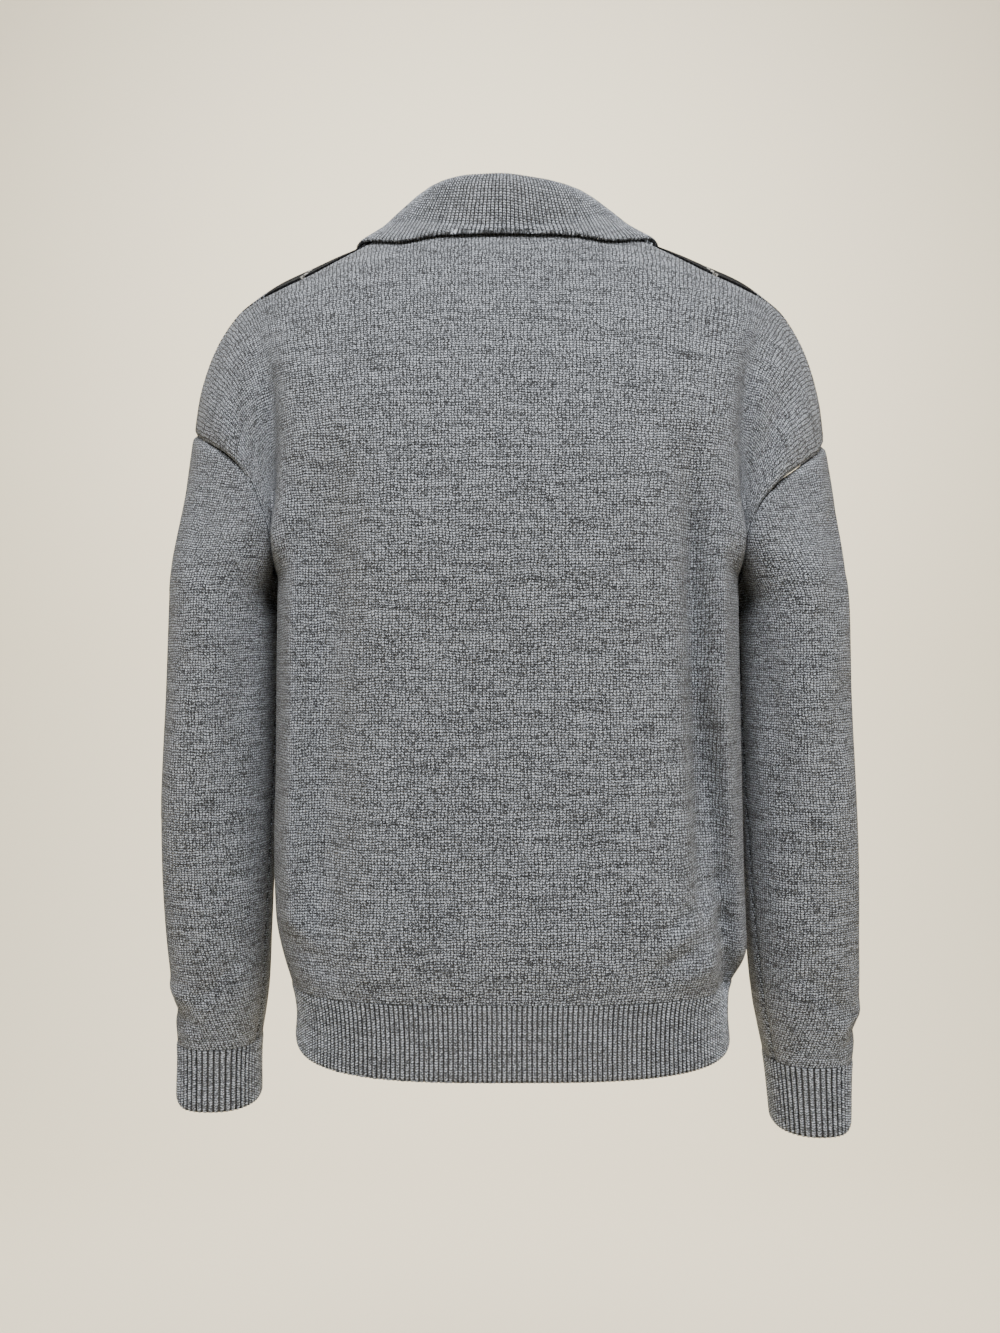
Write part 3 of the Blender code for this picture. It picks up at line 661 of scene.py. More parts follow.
def vector_figure(tree, operation, *inputs):
    """One step of arithmetic on vectors."""
    return add_node(tree, "ShaderNodeVectorMath", inputs, operation=operation).outputs[0]


def mixed(tree, share, first, second, **settings):
    """Two colours mixed by a share."""
    mix = add_node(tree, "ShaderNodeMix", (share,), data_type="RGBA", **settings)
    feed(tree, mix.inputs["A"], first)
    feed(tree, mix.inputs["B"], second)
    return mix.outputs["Result"]


def group_socket(group, name, direction, kind="NodeSocketFloat", start=None):
    """A named input or output of a group."""
    socket = group.interface.new_socket(name=name, in_out=direction, socket_type=kind)
    if start is not None:
        socket.default_value = start


# The stitches of a knit: each wale is a column of small Vs with a groove on either side and a gap
# from one V to the next, which the knit's colour darkens with painted shade. Its tone varies from leg
# to leg, from fibre to fibre, and in soft streaks along the yarn, and the stitches aren't quite even.
WALE = 0.0025
COURSE = 0.00185
GROOVE = 0.46  # width of the groove between two wales of plain knit, as a share of a wale
UNEVEN = 0.0036  # how far stitches stray in plain knit, in metres
UNEVEN_SCALE = 70.0
LEAN = 0.4  # how far a V's legs rise, in courses
STRAND_THIN = 1.15
MIDDLE_DIP = 0.25
TUFTS = 2.0  # tufts of fibre up one leg
FIBRE = 0.0006
STREAK = 0.038
STREAK_ROWS = 0.5
HEATHER_DARKER = 1.25
HEATHER_SPREAD = {"streak": 1.5, "leg": 0.35, "tuft": 0.65, "fibre": 2.4}
stitches = bpy.data.node_groups.new("Stitches", "ShaderNodeTree")
group_socket(stitches, "Knit map", "INPUT", "NodeSocketVector")
group_socket(stitches, "Wale", "INPUT", start=WALE)
group_socket(stitches, "Course", "INPUT", start=COURSE)
group_socket(stitches, "Groove", "INPUT", start=GROOVE)
group_socket(stitches, "Streak length", "INPUT", start=STREAK)
group_socket(stitches, "Unevenness", "INPUT", start=UNEVEN)
for output in ("Height", "Groove mask", "Wale number", "Course number", "Heather"):
    group_socket(stitches, output, "OUTPUT")
given = add_node(stitches, "NodeGroupInput")
# A noise's inputs are its place, a fourth dimension that isn't used, its scale, detail and roughness.
uneven_place = vector_figure(stitches, "MULTIPLY", given.outputs["Knit map"], (UNEVEN_SCALE,) * 3)
uneven = add_node(stitches, "ShaderNodeTexNoise", (uneven_place, None, 1.0, 1.0, 0.5)).outputs[1]
uneven = vector_figure(stitches, "SUBTRACT", uneven, (0.5,) * 3)
uneven = vector_figure(stitches, "SCALE", uneven, None, None, given.outputs["Unevenness"])
moved_map = vector_figure(stitches, "ADD", given.outputs["Knit map"], uneven)
given_map = add_node(stitches, "ShaderNodeSeparateXYZ", (moved_map,))
wale_place = figure(stitches, "DIVIDE", given_map.outputs[0], given.outputs["Wale"])
wale_number = figure(stitches, "FLOOR", wale_place)
wale_part = figure(stitches, "FRACT", wale_place)
from_middle = figure(stitches, "ABSOLUTE", figure(stitches, "SUBTRACT", wale_part, 0.5))
spread = figure(stitches, "MULTIPLY", from_middle, 2.0)
course_place = figure(stitches, "DIVIDE", given_map.outputs[1], given.outputs["Course"])
leaning = figure(stitches, "SUBTRACT", course_place, figure(stitches, "MULTIPLY", spread, LEAN))
course_number = figure(stitches, "FLOOR", leaning)
strand = figure(stitches, "MULTIPLY", figure(stitches, "FRACT", leaning), math.pi)
strand = figure(stitches, "POWER", figure(stitches, "SINE", strand), STRAND_THIN)
groove_start = figure(stitches, "SUBTRACT", 1.0, given.outputs["Groove"])
groove = add_node(
    stitches,
    "ShaderNodeMapRange",
    (spread, groove_start, 1.0, 0.0, 1.0),
    interpolation_type="SMOOTHSTEP",
).outputs[0]
middle_dip = add_node(
    stitches,
    "ShaderNodeMapRange",
    (spread, 0.0, MIDDLE_DIP, MIDDLE_DIP, 0.0),
    interpolation_type="SMOOTHSTEP",
).outputs[0]
ridge = figure(stitches, "SUBTRACT", figure(stitches, "SUBTRACT", 1.0, groove), middle_dip)
height = figure(stitches, "MULTIPLY", ridge, strand)
leg = figure(stitches, "SIGN", figure(stitches, "SUBTRACT", wale_part, 0.5))
leg_place = figure(stitches, "ADD", wale_number, figure(stitches, "MULTIPLY", leg, 0.25))
tuft_row = figure(stitches, "FLOOR", figure(stitches, "MULTIPLY", leaning, TUFTS))
fibres = (1 / FIBRE, 1 / FIBRE, 1.0)
fibre_place = vector_figure(stitches, "MULTIPLY", given.outputs["Knit map"], fibres)
streak_across = figure(stitches, "DIVIDE", given_map.outputs[0], given.outputs["Streak length"])
streak_up = figure(stitches, "MULTIPLY", course_place, STREAK_ROWS)
cells = {
    "leg": add_node(stitches, "ShaderNodeCombineXYZ", (leg_place, course_number, 0.5)).outputs[0],
    "tuft": add_node(stitches, "ShaderNodeCombineXYZ", (leg_place, tuft_row, 7.5)).outputs[0],
    "fibre": vector_figure(stitches, "FLOOR", fibre_place),
    "streak": add_node(stitches, "ShaderNodeCombineXYZ", (streak_across, streak_up, 0.0)).outputs[0],
}
heather = 0.5
for part, cell in cells.items():
    if part == "streak":
        shade = add_node(stitches, "ShaderNodeTexNoise", (cell, None, 1.0, 0.6, 0.5)).outputs[0]
    else:
        shade = add_node(stitches, "ShaderNodeTexWhiteNoise", (cell,), noise_dimensions="3D")
        shade = shade.outputs["Value"]
    shade = figure(stitches, "SUBTRACT", shade, 0.5)
    shade = figure(stitches, "MULTIPLY", shade, HEATHER_SPREAD[part])
    heather = figure(stitches, "ADD", heather, shade)
heather = add_node(stitches, "ShaderNodeClamp", (heather, 0.0, 1.0)).outputs[0]
heather = figure(stitches, "POWER", heather, HEATHER_DARKER)
given_out = add_node(stitches, "NodeGroupOutput")
for output, value in (
    ("Height", height),
    ("Groove mask", groove),
    ("Wale number", wale_number),
    ("Course number", course_number),
    ("Heather", heather),
):
    stitches.links.new(value, given_out.inputs[output])

GREY_DARK = (0.050, 0.054, 0.061, 1.0)
GREY_LIGHT = (0.640, 0.685, 0.765, 1.0)

# What differs from one knit to another: the size of its stitches, how wide the grooves between its
# wales are and how dark the painted shade in them is, the painted shade of its gaps and the painted
# light on its strands, its unevenness and its sheen.
Knit = namedtuple("Knit", "wale groove groove_shade gap strand uneven sheen")
PLAIN = Knit(WALE, GROOVE, 0.45, 0.10, 1.30, UNEVEN, 0.25)
KNIT_RELIEF = 0.0008
FUZZ = 2600.0  # fibres to a metre
FUZZ_RELIEF = 0.35


def knit_material(name, knit, colours):
    """A heathered knit: its stitches' relief and painted shade and light, over colours from a function.
    """
    material = bpy.data.materials.new(name)
    material.use_nodes = True
    tree = material.node_tree
    shader = tree.nodes["Principled BSDF"]
    shader.inputs["Roughness"].default_value = 0.92
    shader.inputs["Specular IOR Level"].default_value = 0.18
    shader.inputs["Sheen Weight"].default_value = knit.sheen
    shader.inputs["Sheen Roughness"].default_value = 0.55
    knit_map = add_node(tree, "ShaderNodeUVMap", uv_map="knit").outputs[0]
    stitch = add_node(tree, "ShaderNodeGroup", node_tree=stitches)
    tree.links.new(knit_map, stitch.inputs["Knit map"])
    stitch.inputs["Wale"].default_value = knit.wale
    stitch.inputs["Course"].default_value = COURSE
    stitch.inputs["Groove"].default_value = knit.groove
    stitch.inputs["Streak length"].default_value = STREAK
    stitch.inputs["Unevenness"].default_value = knit.uneven
    colour = colours(tree, stitch)
    # Painted shade and light: the colour is darkened in the grooves, the gaps between courses and the
    # middle of each V, and lightened on the strands' crests.
    painted_groove_dark = figure(tree, "MULTIPLY", stitch.outputs["Groove mask"], knit.groove_shade)
    shade = figure(tree, "SUBTRACT", 1.0, painted_groove_dark)
    lit = figure(tree, "ADD", figure(tree, "MULTIPLY", stitch.outputs["Height"], knit.strand), knit.gap)
    shade = figure(tree, "MULTIPLY", shade, lit)
    shaded = mixed(tree, 1.0, colour, shade, blend_type="MULTIPLY", clamp_factor=True)
    tree.links.new(shaded, shader.inputs["Base Color"])
    fuzz_place = vector_figure(tree, "MULTIPLY", knit_map, (FUZZ, FUZZ, 1.0))
    fuzz = add_node(tree, "ShaderNodeTexNoise", (fuzz_place, None, 1.0, 2.0, 0.6)).outputs[0]
    relief = figure(tree, "ADD", stitch.outputs["Height"], figure(tree, "MULTIPLY", fuzz, FUZZ_RELIEF))
    raised = add_node(tree, "ShaderNodeBump", (1.0, KNIT_RELIEF))
    tree.links.new(relief, raised.inputs["Height"])
    tree.links.new(raised.outputs[0], shader.inputs["Normal"])
    return material


def grey_heather(tree, stitch, dark=GREY_DARK, light=GREY_LIGHT):
    """Dark and light grey fibres, mixed along the yarn."""
    return mixed(tree, stitch.outputs["Heather"], dark, light)


body_middle = np.array([0.0, 0.0, -0.35])


def panel(face, roll, depth, from_neck):
    """A front's or back's sheet, folded, and rolled beside its side seams and shoulder seams.

    The roll on the shoulders grows to its full depth between two shares beyond the neckline.
    """
    sheet = face_outwards(both_halves(half_panel("left", face), half_panel("right", face)), body_middle)
    sheet = folded_body(finer(sheet, FACE_SIDE, FACE_SIDE))
    sheet = turned_in(sheet, ("first", "last"), SEAM_ROLL, SEAM_DEPTH)
    on_shoulder = soft_step(abs(sheet[..., 3]) / PANEL_HALF - NECK_SHARE, *from_neck)
    return turned_in(sheet, ("high",), roll, depth, False, on_shoulder)


plain_knit = knit_material("grey plain knit", PLAIN, grey_heather)
back_sheet = panel("back", SEAM_ROLL, SEAM_DEPTH, (0.02, 0.08))
back = knitted_piece("back_knit", seam_allowed(back_sheet), CLOTH, plain_knit)
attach(back, "root")
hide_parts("back")

# ---- The front ----
# The same cut as the back, with a V neckline, knitted as argyle: black lozenges on the grey, tip
# to tip, and thin off-white lines that cross in the middle of each lozenge.
LOZENGE_WIDE = 0.104
LOZENGE_HIGH = 0.145
ARGYLE_START = 0.0535  # from the rib's top to the middle of a row of lozenges
ARGYLE_LINE = 0.030  # half a line's width, as a share of a lozenge
BLACK_DARK = (0.004, 0.004, 0.005, 1.0)
BLACK_LIGHT = (0.020, 0.021, 0.024, 1.0)
OFF_WHITE = (0.62, 0.60, 0.55, 1.0)


def argyle(tree, stitch):
    """Chooses each stitch's yarn by where it lies among the lozenges and lines."""
    grey = grey_heather(tree, stitch)
    across = figure(tree, "MULTIPLY", stitch.outputs["Wale number"], WALE)
    across = figure(tree, "ADD", figure(tree, "DIVIDE", across, LOZENGE_WIDE), 0.5)
    along_wale = figure(tree, "MULTIPLY", stitch.outputs["Course number"], COURSE)
    along_wale = figure(tree, "SUBTRACT", along_wale, ARGYLE_START)
    along_wale = figure(tree, "DIVIDE", along_wale, LOZENGE_HIGH)
    rising = figure(tree, "ADD", across, along_wale)
    falling = figure(tree, "SUBTRACT", across, along_wale)
    squares = figure(tree, "ADD", figure(tree, "ROUND", rising), figure(tree, "ROUND", falling))
    odd = figure(tree, "ABSOLUTE", figure(tree, "MODULO", squares, 2.0))
    lozenge = figure(tree, "SUBTRACT", 1.0, figure(tree, "GREATER_THAN", odd, 0.5))
    lines = None
    for slant in (rising, falling):
        off = figure(tree, "ABSOLUTE", figure(tree, "SUBTRACT", slant, figure(tree, "ROUND", slant)))
        line = figure(tree, "LESS_THAN", off, ARGYLE_LINE)
        lines = line if lines is None else figure(tree, "MAXIMUM", lines, line)
    black = mixed(tree, stitch.outputs["Heather"], BLACK_DARK, BLACK_LIGHT)
    ground = mixed(tree, lozenge, grey, black)
    return mixed(tree, lines, ground, OFF_WHITE)


SHOULDER_PROUD = -0.0026  # the front's edge rolls up over the shoulder seams
SHOULDER_ROLL = 0.010
argyle_knit = knit_material("argyle knit", PLAIN._replace(sheen=0.06), argyle)
front_sheet = panel("front", SHOULDER_ROLL, SHOULDER_PROUD, (0.05, 0.18))
front = knitted_piece("front_knit", seam_allowed(front_sheet), CLOTH, argyle_knit)
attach(front, "root")
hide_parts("front")

# ---- The hem's rib ----
# A band of one-by-one rib under each panel, drawn in against the hips. It is knitted on: its
# ribs run up and down, and its side ends rise a little at the seams.
RIB = 0.0028
RIB_WIDE = 0.0037
RIB_RELIEF = 0.0010
RIB_ROUNDNESS = 0.8
RIB_SUNK = 1.2  # how far the grooves lie below the sheet, as a share of the relief
HEM_LIFT = {"left": 0.022, "right": 0.014}
HEM_LIFT_BEND = 3  # the higher, the nearer to the side seams the band starts to rise
HEM_ROWS = 6
RIB_FACE = {"up": 0.0035, "across": 0.00052}
SOFT_EDGE = 0.0030
SOFT_EDGE_DEPTH = 0.0012


def ribbed(sheet, rib_wide, relief, fade_rows=2, closed=False):
    """Raises a sheet's points into round ribs with narrow grooves, from nothing at its last row."""
    normals = outward(sheet, closed)
    wave = (2 * abs(np.sin(sheet[..., 3] / rib_wide * math.pi)) ** RIB_ROUNDNESS - RIB_SUNK) * relief
    rows = np.arange(sheet.shape[0])[::-1]
    wave *= np.clip(rows / fade_rows, 0, 1)[:, None]
    sheet = sheet.copy()
    sheet[..., :3] += normals * wave[..., None]
    return sheet


RIB_GREY_DARK = (0.135, 0.145, 0.160, 1.0)
RIB_KNIT = Knit(RIB_WIDE, 0.62, 0.96, 0.20, 1.22, 0.0003, 0.25)


def rib_heather(tree, stitch):
    """The same yarns, whose dark fibres show less along a rib's round face."""
    return grey_heather(tree, stitch, RIB_GREY_DARK)


rib_knit = knit_material("grey rib knit", RIB_KNIT, rib_heather)
for face in ("back", "front"):
    heights = np.linspace(HEM, HEM_RIB_TOP, HEM_ROWS + 1)
    halves = []
    for side in ("left", "right"):
        half = np.stack([body_half_ring(side, face, height, SHARES) for height in heights])
        lift = np.outer(np.linspace(1, 0, HEM_ROWS + 1), np.array(SHARES) ** HEM_LIFT_BEND)
        half[:, :, 2] += HEM_LIFT[side] * lift
        halves.append(half)
    hem_sheet = face_outwards(both_halves(*halves), body_middle)
    hem_sheet = folded_body(finer(hem_sheet, RIB_FACE["up"], RIB_FACE["across"]))
    hem_sheet = ribbed(hem_sheet, RIB_WIDE, RIB_RELIEF)
    hem_sheet = turned_in(hem_sheet, ("low",), SOFT_EDGE, SOFT_EDGE_DEPTH)
    hem = knitted_piece("hem_knit_" + face, seam_allowed(hem_sheet), RIB, rib_knit)
    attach(hem, "root")
    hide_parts("hem_rib_" + face)

# ---- The sleeves ----
# A tube of plain knit from each armhole seam to its cuff, closed by an underarm seam next to the
# body. It hangs free and blouses a little over the cuff.
# How far the tube's outer and inner sides are from the body's centre, half its depth, and how far
# its middle is to the back.
SleeveRing = namedtuple("SleeveRing", "height outer inner deep middle")
SLEEVE_RINGS = {
    "left": rows_of(
        SleeveRing,
        (-0.150, 0.2385, 0.173, 0.074, 0.000),
        (-0.200, 0.2450, 0.173, 0.074, 0.000),
        (-0.262, 0.2515, 0.174, 0.073, 0.000),
        (-0.350, 0.2560, 0.175, 0.069, -0.001),
        (-0.450, 0.2600, 0.178, 0.064, -0.003),
        (-0.530, 0.2565, 0.181, 0.058, -0.005),
        (-0.585, 0.2520, 0.184, 0.050, -0.006),
        (-0.611, 0.2500, 0.188, 0.043, -0.006),
        (-0.658, 0.2505, 0.189, 0.041, -0.006),
    ),
    "right": rows_of(
        SleeveRing,
        (-0.158, 0.2430, 0.176, 0.074, 0.000),
        (-0.200, 0.2500, 0.176, 0.074, 0.000),
        (-0.262, 0.2565, 0.177, 0.073, 0.000),
        (-0.350, 0.2600, 0.179, 0.069, -0.001),
        (-0.450, 0.2640, 0.182, 0.064, -0.002),
        (-0.530, 0.2650, 0.185, 0.058, -0.004),
        (-0.590, 0.2665, 0.191, 0.050, -0.005),
        (-0.624, 0.2630, 0.198, 0.043, -0.005),
        (-0.676, 0.2615, 0.204, 0.041, -0.004),
    ),
}
SLEEVE_SQUARENESS = 2.3
SLEEVE_TWIST = {"left": 0.05, "right": 0.085}  # how far round to the back the underarm seam turns
TWIST_FROM, TWIST_TO = 0.30, 0.62
CAP_FADE = 0.11
UNDERARM_FADE = 0.022
SLEEVE_ROWS = 26
SLEEVE_ROWS_GATHERED = 1.4

# Folds of the sleeves: share round the tube (0 next to the body, a quarter at the back, a half
# at the outer side) and height of both ends, width in metres, and depth.
SleeveFold = namedtuple("SleeveFold", "side share high share_end low width depth")
SLEEVE_FOLDS = rows_of(
    SleeveFold,
    ("left", 0.06, -0.228, 0.07, -0.290, 0.012, -0.0050),
    ("left", 0.44, -0.270, 0.47, -0.420, 0.014, -0.0040),
    ("left", 0.17, -0.280, 0.22, -0.500, 0.013, -0.0036),
    ("left", 0.36, -0.200, 0.20, -0.300, 0.012, -0.0034),
    ("left", 0.28, -0.190, 0.14, -0.270, 0.010, 0.0030),
    ("left", 0.41, -0.440, 0.40, -0.612, 0.008, -0.0070),
    ("left", 0.30, -0.330, 0.33, -0.560, 0.016, 0.0026),
    ("left", 0.12, -0.540, 0.30, -0.590, 0.007, -0.0026),
    ("left", 0.20, -0.580, 0.40, -0.562, 0.006, 0.0024),
    ("left", 0.22, -0.596, 0.42, -0.580, 0.006, -0.0026),
    ("right", 0.06, -0.230, 0.07, -0.290, 0.012, -0.0050),
    ("right", 0.415, -0.200, 0.42, -0.610, 0.0070, -0.0085),
    ("right", 0.15, -0.300, 0.20, -0.520, 0.014, -0.0036),
    ("right", 0.40, -0.210, 0.24, -0.330, 0.014, -0.0038),
    ("right", 0.28, -0.200, 0.14, -0.280, 0.010, 0.0030),
    ("right", 0.34, -0.330, 0.22, -0.440, 0.012, -0.0026),
    ("right", 0.31, -0.380, 0.33, -0.580, 0.016, 0.0026),
    ("right", 0.14, -0.550, 0.33, -0.605, 0.007, -0.0028),
    ("right", 0.20, -0.598, 0.38, -0.580, 0.006, 0.0024),
    ("right", 0.24, -0.612, 0.42, -0.596, 0.006, -0.0026),
    ("left", 0.62, -0.240, 0.78, -0.340, 0.013, -0.0036),
    ("left", 0.70, -0.340, 0.66, -0.540, 0.015, -0.0034),
    ("left", 0.84, -0.560, 0.66, -0.590, 0.007, -0.0026),
    ("right", 0.60, -0.250, 0.76, -0.360, 0.013, -0.0036),
    ("right", 0.68, -0.360, 0.72, -0.560, 0.015, -0.0034),
    ("right", 0.86, -0.570, 0.68, -0.600, 0.007, -0.0026),
)
SLEEVE_FOLD_FADE = 0.6  # the lower, the sooner a fold is at its full depth


def armhole_loop(side):
    """The closed armhole seam, from the underarm over the back and down the front."""
    rows = np.linspace(0, 1, YOKE_ROWS + 1)
    back_half = arm_wale(side, "back", 1.0, ARMHOLE, rows)
    front_half = arm_wale(side, "front", 1.0, ARMHOLE, rows)
    return np.concatenate([back_half, front_half[::-1][1:]])


def loop_shares(loop):
    """How far along a loop each of its points is."""
    steps = np.linalg.norm(np.diff(loop, axis=0), axis=1)
    return np.concatenate([[0.0], np.cumsum(steps)]) / steps.sum()


def sleeve_ring(side, height, shares):
    """Points round the sleeve's tube, whose shares start next to the body and go round the back."""
    table = SLEEVE_RINGS[side][::-1]
    heights = column(table, "height")
    outer, inner, deep, middle = (
        spline(heights, column(table, name), height) for name in ("outer", "inner", "deep", "middle")
    )
    sine, cosine = superellipse(np.linspace(0, 2 * math.pi, CURVE_POINTS + 1), SLEEVE_SQUARENESS)
    across = (outer + inner) / 2 - (outer - inner) / 2 * cosine
    ring = np.stack([SIGN[side] * across, middle + deep * sine, np.full(len(sine), height)], axis=-1)
    twist = SLEEVE_TWIST[side] * soft_step(-height, TWIST_FROM, TWIST_TO)
    return along(ring, (np.asarray(shares) + twist) % 1.0)


def round_the_arm(points):
    """Adds a tube's place in the knit: its wales run straight along the outer side of the arm."""
    steps = np.linalg.norm(np.diff(points, axis=1), axis=-1)
    around = np.concatenate([np.zeros((points.shape[0], 1)), np.cumsum(steps, axis=1)], axis=1)
    return with_stitches(points, around - around[:, -1:] / 2)


def folded_sleeve(sheet, side):
    """Moves a sleeve's points in or out by the folds that cross them."""
    normals = outward(sheet, True)
    shares = np.linspace(0, 1, sheet.shape[1])
    if sheet[sheet.shape[0] // 2, sheet.shape[1] // 4, 1] < 0:
        shares = shares[::-1]
    girth = float(abs(sheet[:, -1:, 3] - sheet[:, :1, 3]).mean())
    flat = np.stack(np.broadcast_arrays(shares * girth, sheet[..., 2]), axis=-1)
    moved = np.zeros(sheet.shape[:2])
    for fold in SLEEVE_FOLDS:
        if fold.side != side:
            continue
        start, end = (fold.share * girth, fold.high), (fold.share_end * girth, fold.low)
        run, away = beside_fold(flat, start, end)
        ends = np.clip(run * (1 - run) * 4, 0, 1) ** SLEEVE_FOLD_FADE
        moved += fold.depth * np.exp(-((away / fold.width) ** 2)) * ends
    sheet = sheet.copy()
    sheet[..., :3] += normals * moved[..., None]
    return sheet


sleeve_middles = {side: np.array([SIGN[side] * 0.215, 0.0, -0.40]) for side in SIGN}
for side in ("left", "right"):
    loop = armhole_loop(side)
    shares = loop_shares(loop)
    cuff_top = SLEEVE_RINGS[side][-2].height
    raised = (loop[:, 2] - UNDERARM) / (loop[:, 2].max() - UNDERARM)
    reaches = UNDERARM_FADE + (CAP_FADE - UNDERARM_FADE) * raised
    rows = []
    for k in np.linspace(0, 1, SLEEVE_ROWS + 1) ** SLEEVE_ROWS_GATHERED:
        row = []
        for start, share, reach in zip(loop, shares, reaches):
            height = start[2] + (cuff_top - start[2]) * k
            fade = soft_step(1 - (start[2] - height) / reach, 0.0, 1.0)
            offset = start - sleeve_ring(side, start[2], [share])[0]
            row.append(sleeve_ring(side, height, [share])[0] + offset * fade)
        rows.append(row)
    sleeve_sheet = round_the_arm(np.array(rows)[::-1])
    sleeve_sheet = finer(face_outwards(sleeve_sheet, sleeve_middles[side]), FACE_SIDE, FACE_SIDE)
    sleeve_sheet = folded_sleeve(sleeve_sheet, side)
    sleeve_sheet = turned_in(sleeve_sheet, ("high", "first", "last"), SEAM_ROLL, SEAM_DEPTH, True)
    sleeve_sheet = seam_allowed(sleeve_sheet, True)
    sleeve = knitted_piece("sleeve_knit_" + side, sleeve_sheet, CLOTH, plain_knit, True)
    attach(sleeve, "root")
    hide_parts("sleeve_" + side)

# ---- The cuffs ----
# A tube of one-by-one rib under each sleeve, narrower than the sleeve, which it gathers in. It is
# knitted on, and closed by the same underarm seam.
CUFF_RIBS = 54
CUFF_ROWS = 4
CUFF_TILT = 0.013  # the cuff's edge is higher at the outer front, where the arm bends forward
CUFF_HIGH_PLACE = 0.62
CUFF_TILT_REACH = 0.30
for side in ("left", "right"):
    loop = armhole_loop(side)
    shares = loop_shares(loop)
    top, edge = SLEEVE_RINGS[side][-2].height, SLEEVE_RINGS[side][-1].height
    heights = np.linspace(edge, top, CUFF_ROWS + 1)
    points = np.array([sleeve_ring(side, height, shares) for height in heights])
    from_high = (shares + SLEEVE_TWIST[side] - CUFF_HIGH_PLACE) / CUFF_TILT_REACH
    raised = CUFF_TILT * np.cos(np.clip(from_high, -1, 1) * math.pi / 2) ** 2
    points[..., 2] += np.outer(np.linspace(1, 0, CUFF_ROWS + 1), raised)
    ribs_across = np.broadcast_to(shares * CUFF_RIBS * RIB_WIDE, points.shape[:2])
    cuff_sheet = face_outwards(with_stitches(points, ribs_across), sleeve_middles[side])
    cuff_sheet = finer(cuff_sheet, RIB_FACE["up"], RIB_FACE["across"])
    cuff_sheet = ribbed(cuff_sheet, RIB_WIDE, RIB_RELIEF, 2, True)
    cuff_sheet = turned_in(cuff_sheet, ("low", "first", "last"), SOFT_EDGE, SOFT_EDGE_DEPTH, True)
    cuff = knitted_piece("cuff_knit_" + side, seam_allowed(cuff_sheet, True), RIB, rib_knit, True)
    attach(cuff, "root")
    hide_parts("cuff_" + side)

# ---- The collar ----
# One long band of rib, sewn to the neckline from the V's point round the back and folded over,
# so that its fall lies on the shoulders and its points on the chest.
COLLAR_CLOTH = 0.0017
COLLAR_CLEARANCE = 0.0021
# The collar from the centre back to the V's point: where on the dome its edge lies, how far its fold
# is from the neckline's seam, and how far its edge stands off the dome.
CollarPlace = namedtuple("CollarPlace", "place edge_share edge_turn fold_out fold_back fold_up stands")
COLLAR = rows_of(
    CollarPlace,
    (0.000, 0.000, 28.5, 0.000, 0.007, 0.0345, 0.0020),
    (0.160, 0.183, 27.0, -0.010, 0.005, 0.0325, 0.0016),
    (0.270, 0.320, 23.4, -0.022, 0.002, 0.0275, 0.0008),
    (0.320, 0.383, 11.0, -0.027, -0.002, 0.0260, 0.0003),
    (0.350, 0.440, -17.0, -0.023, -0.003, 0.0230, 0.0001),
    (0.425, 0.420, -40.0, -0.014, -0.004, 0.0160, 0.0000),
    (0.520, 0.385, -55.5, -0.008, -0.003, 0.0090, 0.0000),
    (0.620, 0.315, -70.5, -0.002, -0.001, 0.0020, 0.0000),
)
COLLAR_FOLD = 0.0080
COLLAR_SLUMP = {"left": 0.0, "right": 0.004}
COLLAR_PLACES = (0.0, 0.08, 0.16, 0.24, 0.29, 0.32, 0.335, 0.35, 0.375, 0.40, 0.44, 0.48, 0.56, 0.625)
COLLAR_RIB = 0.0030
COLLAR_RELIEF = 0.0004
COLLAR_FACE = {"up": 0.0034, "across": 0.0007}
COLLAR_EDGE = 0.0045
COLLAR_EDGE_DEPTH = 0.0010
COLLAR_KNIT = Knit(COLLAR_RIB, 0.54, 0.86, 0.20, 1.16, 0.0006, 0.25)
CENTRE_SHARE = 0.0055  # the nearest to the centre that the dome's normals are read
PINCHED_FOLD = 2.2 * RIB
FULL_ROLL_HEIGHT = 0.03
SLUMP_REACH = 0.5
CROWN_RISE = 0.002
FALL_OFF_SEAM = 0.004  # how far the fall stays off the stand at the neckline's height
FALL_BULGE = 0.001
FALL_ROWS = (0.35, 0.7, 1.0)
HANGS_TO, LIES_FROM = 0.30, 0.42  # behind, the fall hangs from its fold; in front, it lies down
STANDS_AT_SEAM = 0.7  # how much of what its edge stands off the fall already does at the seam
STANDS_DROP = 0.3  # how far an edge that stands off also drops


def dome_normals(side, shares, turns):
    """The dome's outward normals."""
    nudge = 0.005
    across = dome(side, shares + nudge, turns) - dome(side, shares - nudge, turns)
    over = dome(side, shares, turns + 1.0) - dome(side, shares, turns - 1.0)
    normal = np.cross(across, over) * SIGN[side]
    return normal / np.linalg.norm(normal, axis=1)[:, None]


def neckline_half(side, places):
    """Points on half the neckline, from the centre back over the shoulder to the V's point."""
    knots = [share for share in SHARES if share <= NECK_SHARE]
    back_line = [dome(side, [share], [top_turn("back", share)])[0] for share in knots]
    front_line = [dome(side, [share], [top_turn("front", share)])[0] for share in knots[-2::-1]]
    line = np.array(back_line + front_line)
    keys = knots + [2 * NECK_SHARE - share for share in knots[-2::-1]]
    return np.stack([np.interp(places, keys, line[:, k]) for k in range(3)], axis=-1)


def neckline_turns(places):
    """The dome's shares and turns at places along the neckline."""
    shares = np.minimum(places, 2 * NECK_SHARE - places)
    faces = ["back" if place <= NECK_SHARE else "front" for place in places]
    return shares, np.array([top_turn(face, share) for face, share in zip(faces, shares)])


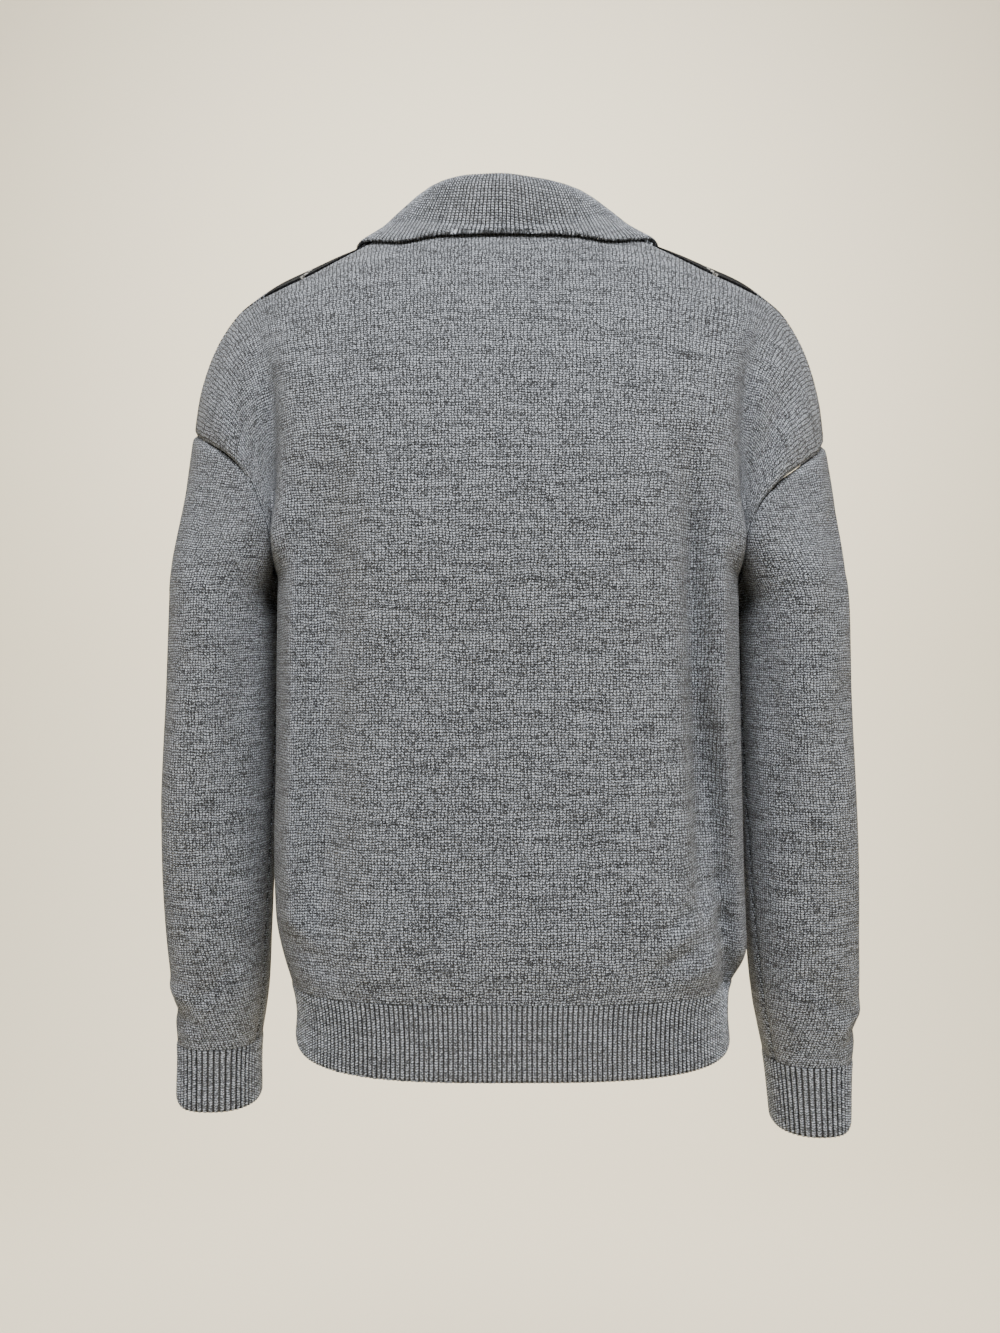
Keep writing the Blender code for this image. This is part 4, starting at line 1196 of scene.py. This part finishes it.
def collar_half(side, places):
    """The collar's sheet on one side: its face, from the seam up the stand and down the fall."""
    # One row mirrored beyond the centre back lets the curves run level through it.
    mirrored = np.array(COLLAR[1]) * [-1, -1, 1, -1, 1, 1, 1]
    table = np.vstack([mirrored, COLLAR])
    values = spline(table[:, 0], table[:, 1:], places)
    share, turn = neckline_turns(places)
    share = np.maximum(share, CENTRE_SHARE)
    edge_share = np.maximum(values[:, 0], CENTRE_SHARE)
    edge_turn = values[:, 1]
    seam = neckline_half(side, places)
    normal = dome_normals(side, share, turn)
    fold = values[:, 2:5] * [SIGN[side], 1.0, 1.0]
    stands = values[:, 5:6]
    fold[:, 2] -= COLLAR_SLUMP[side] * np.sin(np.clip(places / SLUMP_REACH, 0, 1) * math.pi)
    up = fold / np.linalg.norm(fold, axis=1)[:, None]
    line = np.gradient(seam + fold, axis=0)
    out = np.cross(line, up)
    out /= np.linalg.norm(out, axis=1)[:, None]
    out *= np.sign((out * normal).sum(axis=1))[:, None]
    lift = COLLAR_CLOTH + COLLAR_CLEARANCE
    tall = np.linalg.norm(fold, axis=1)[:, None]
    roll = np.clip(tall / FULL_ROLL_HEIGHT, 0, 1)
    fold_thick = PINCHED_FOLD + (COLLAR_FOLD - PINCHED_FOLD) * roll
    stand_foot = seam - out * RIB + up * SEAM_GAP
    stand_top = seam + fold - out * RIB
    crown = seam + fold + up * (CROWN_RISE + CROWN_RISE * roll) + out * (fold_thick / 2 - RIB)
    fall_top = seam + fold + out * (fold_thick - RIB)
    level = normal * [1.0, 1.0, 0.3]
    level /= np.linalg.norm(level, axis=1)[:, None]
    fall_seam = seam + normal * lift + out * FALL_OFF_SEAM * roll + level * stands * STANDS_AT_SEAM
    edge = dome(side, edge_share, edge_turn) + dome_normals(side, edge_share, edge_turn) * lift
    edge += level * stands
    edge[:, 2] -= STANDS_DROP * stands[:, 0]
    hanging = 1 - soft_step(places, HANGS_TO, LIES_FROM)[:, None]
    path = [stand_foot, (stand_foot + stand_top) / 2, stand_top, crown, fall_top]
    path += [(fall_top + fall_seam) / 2 + out * FALL_BULGE * roll, fall_seam]
    for k in FALL_ROWS:
        s = share + (edge_share - share) * k
        t = turn + (edge_turn - turn) * k
        lying = dome(side, s, t) + dome_normals(side, s, t) * lift + level * stands * k
        path.append(lying + (fall_seam + (edge - fall_seam) * k - lying) * hanging)
    return np.stack(path)


collar_rib = knit_material("grey collar rib", COLLAR_KNIT, rib_heather)
left = collar_half("left", np.array(COLLAR_PLACES))
right = collar_half("right", np.array(COLLAR_PLACES))
left[:, 0] = (left[:, 0] + right[:, 0]) / 2
left[:, 0, 0] = 0.0
paths = np.concatenate([left[:, ::-1], right[:, 1:]], axis=1)
seam_row = paths[6]
ribs_along = np.concatenate([[0.0], np.cumsum(np.linalg.norm(np.diff(seam_row, axis=0), axis=1))])
ribs_along = ribs_along[len(COLLAR_PLACES) - 1] - ribs_along
collar_across = np.broadcast_to(ribs_along, paths.shape[:2])
collar_sheet = face_outwards(with_stitches(paths, collar_across), np.array([0.0, 0.0, -0.05]))
collar_sheet = finer(collar_sheet, COLLAR_FACE["up"], COLLAR_FACE["across"])
collar_sheet = ribbed(collar_sheet, COLLAR_RIB, COLLAR_RELIEF, 1)
collar_sheet = turned_in(collar_sheet, ("low", "high"), COLLAR_EDGE, COLLAR_EDGE_DEPTH)
collar = knitted_piece("collar_knit", seam_allowed(collar_sheet), COLLAR_CLOTH, collar_rib)
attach(collar, "root")
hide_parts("collar")
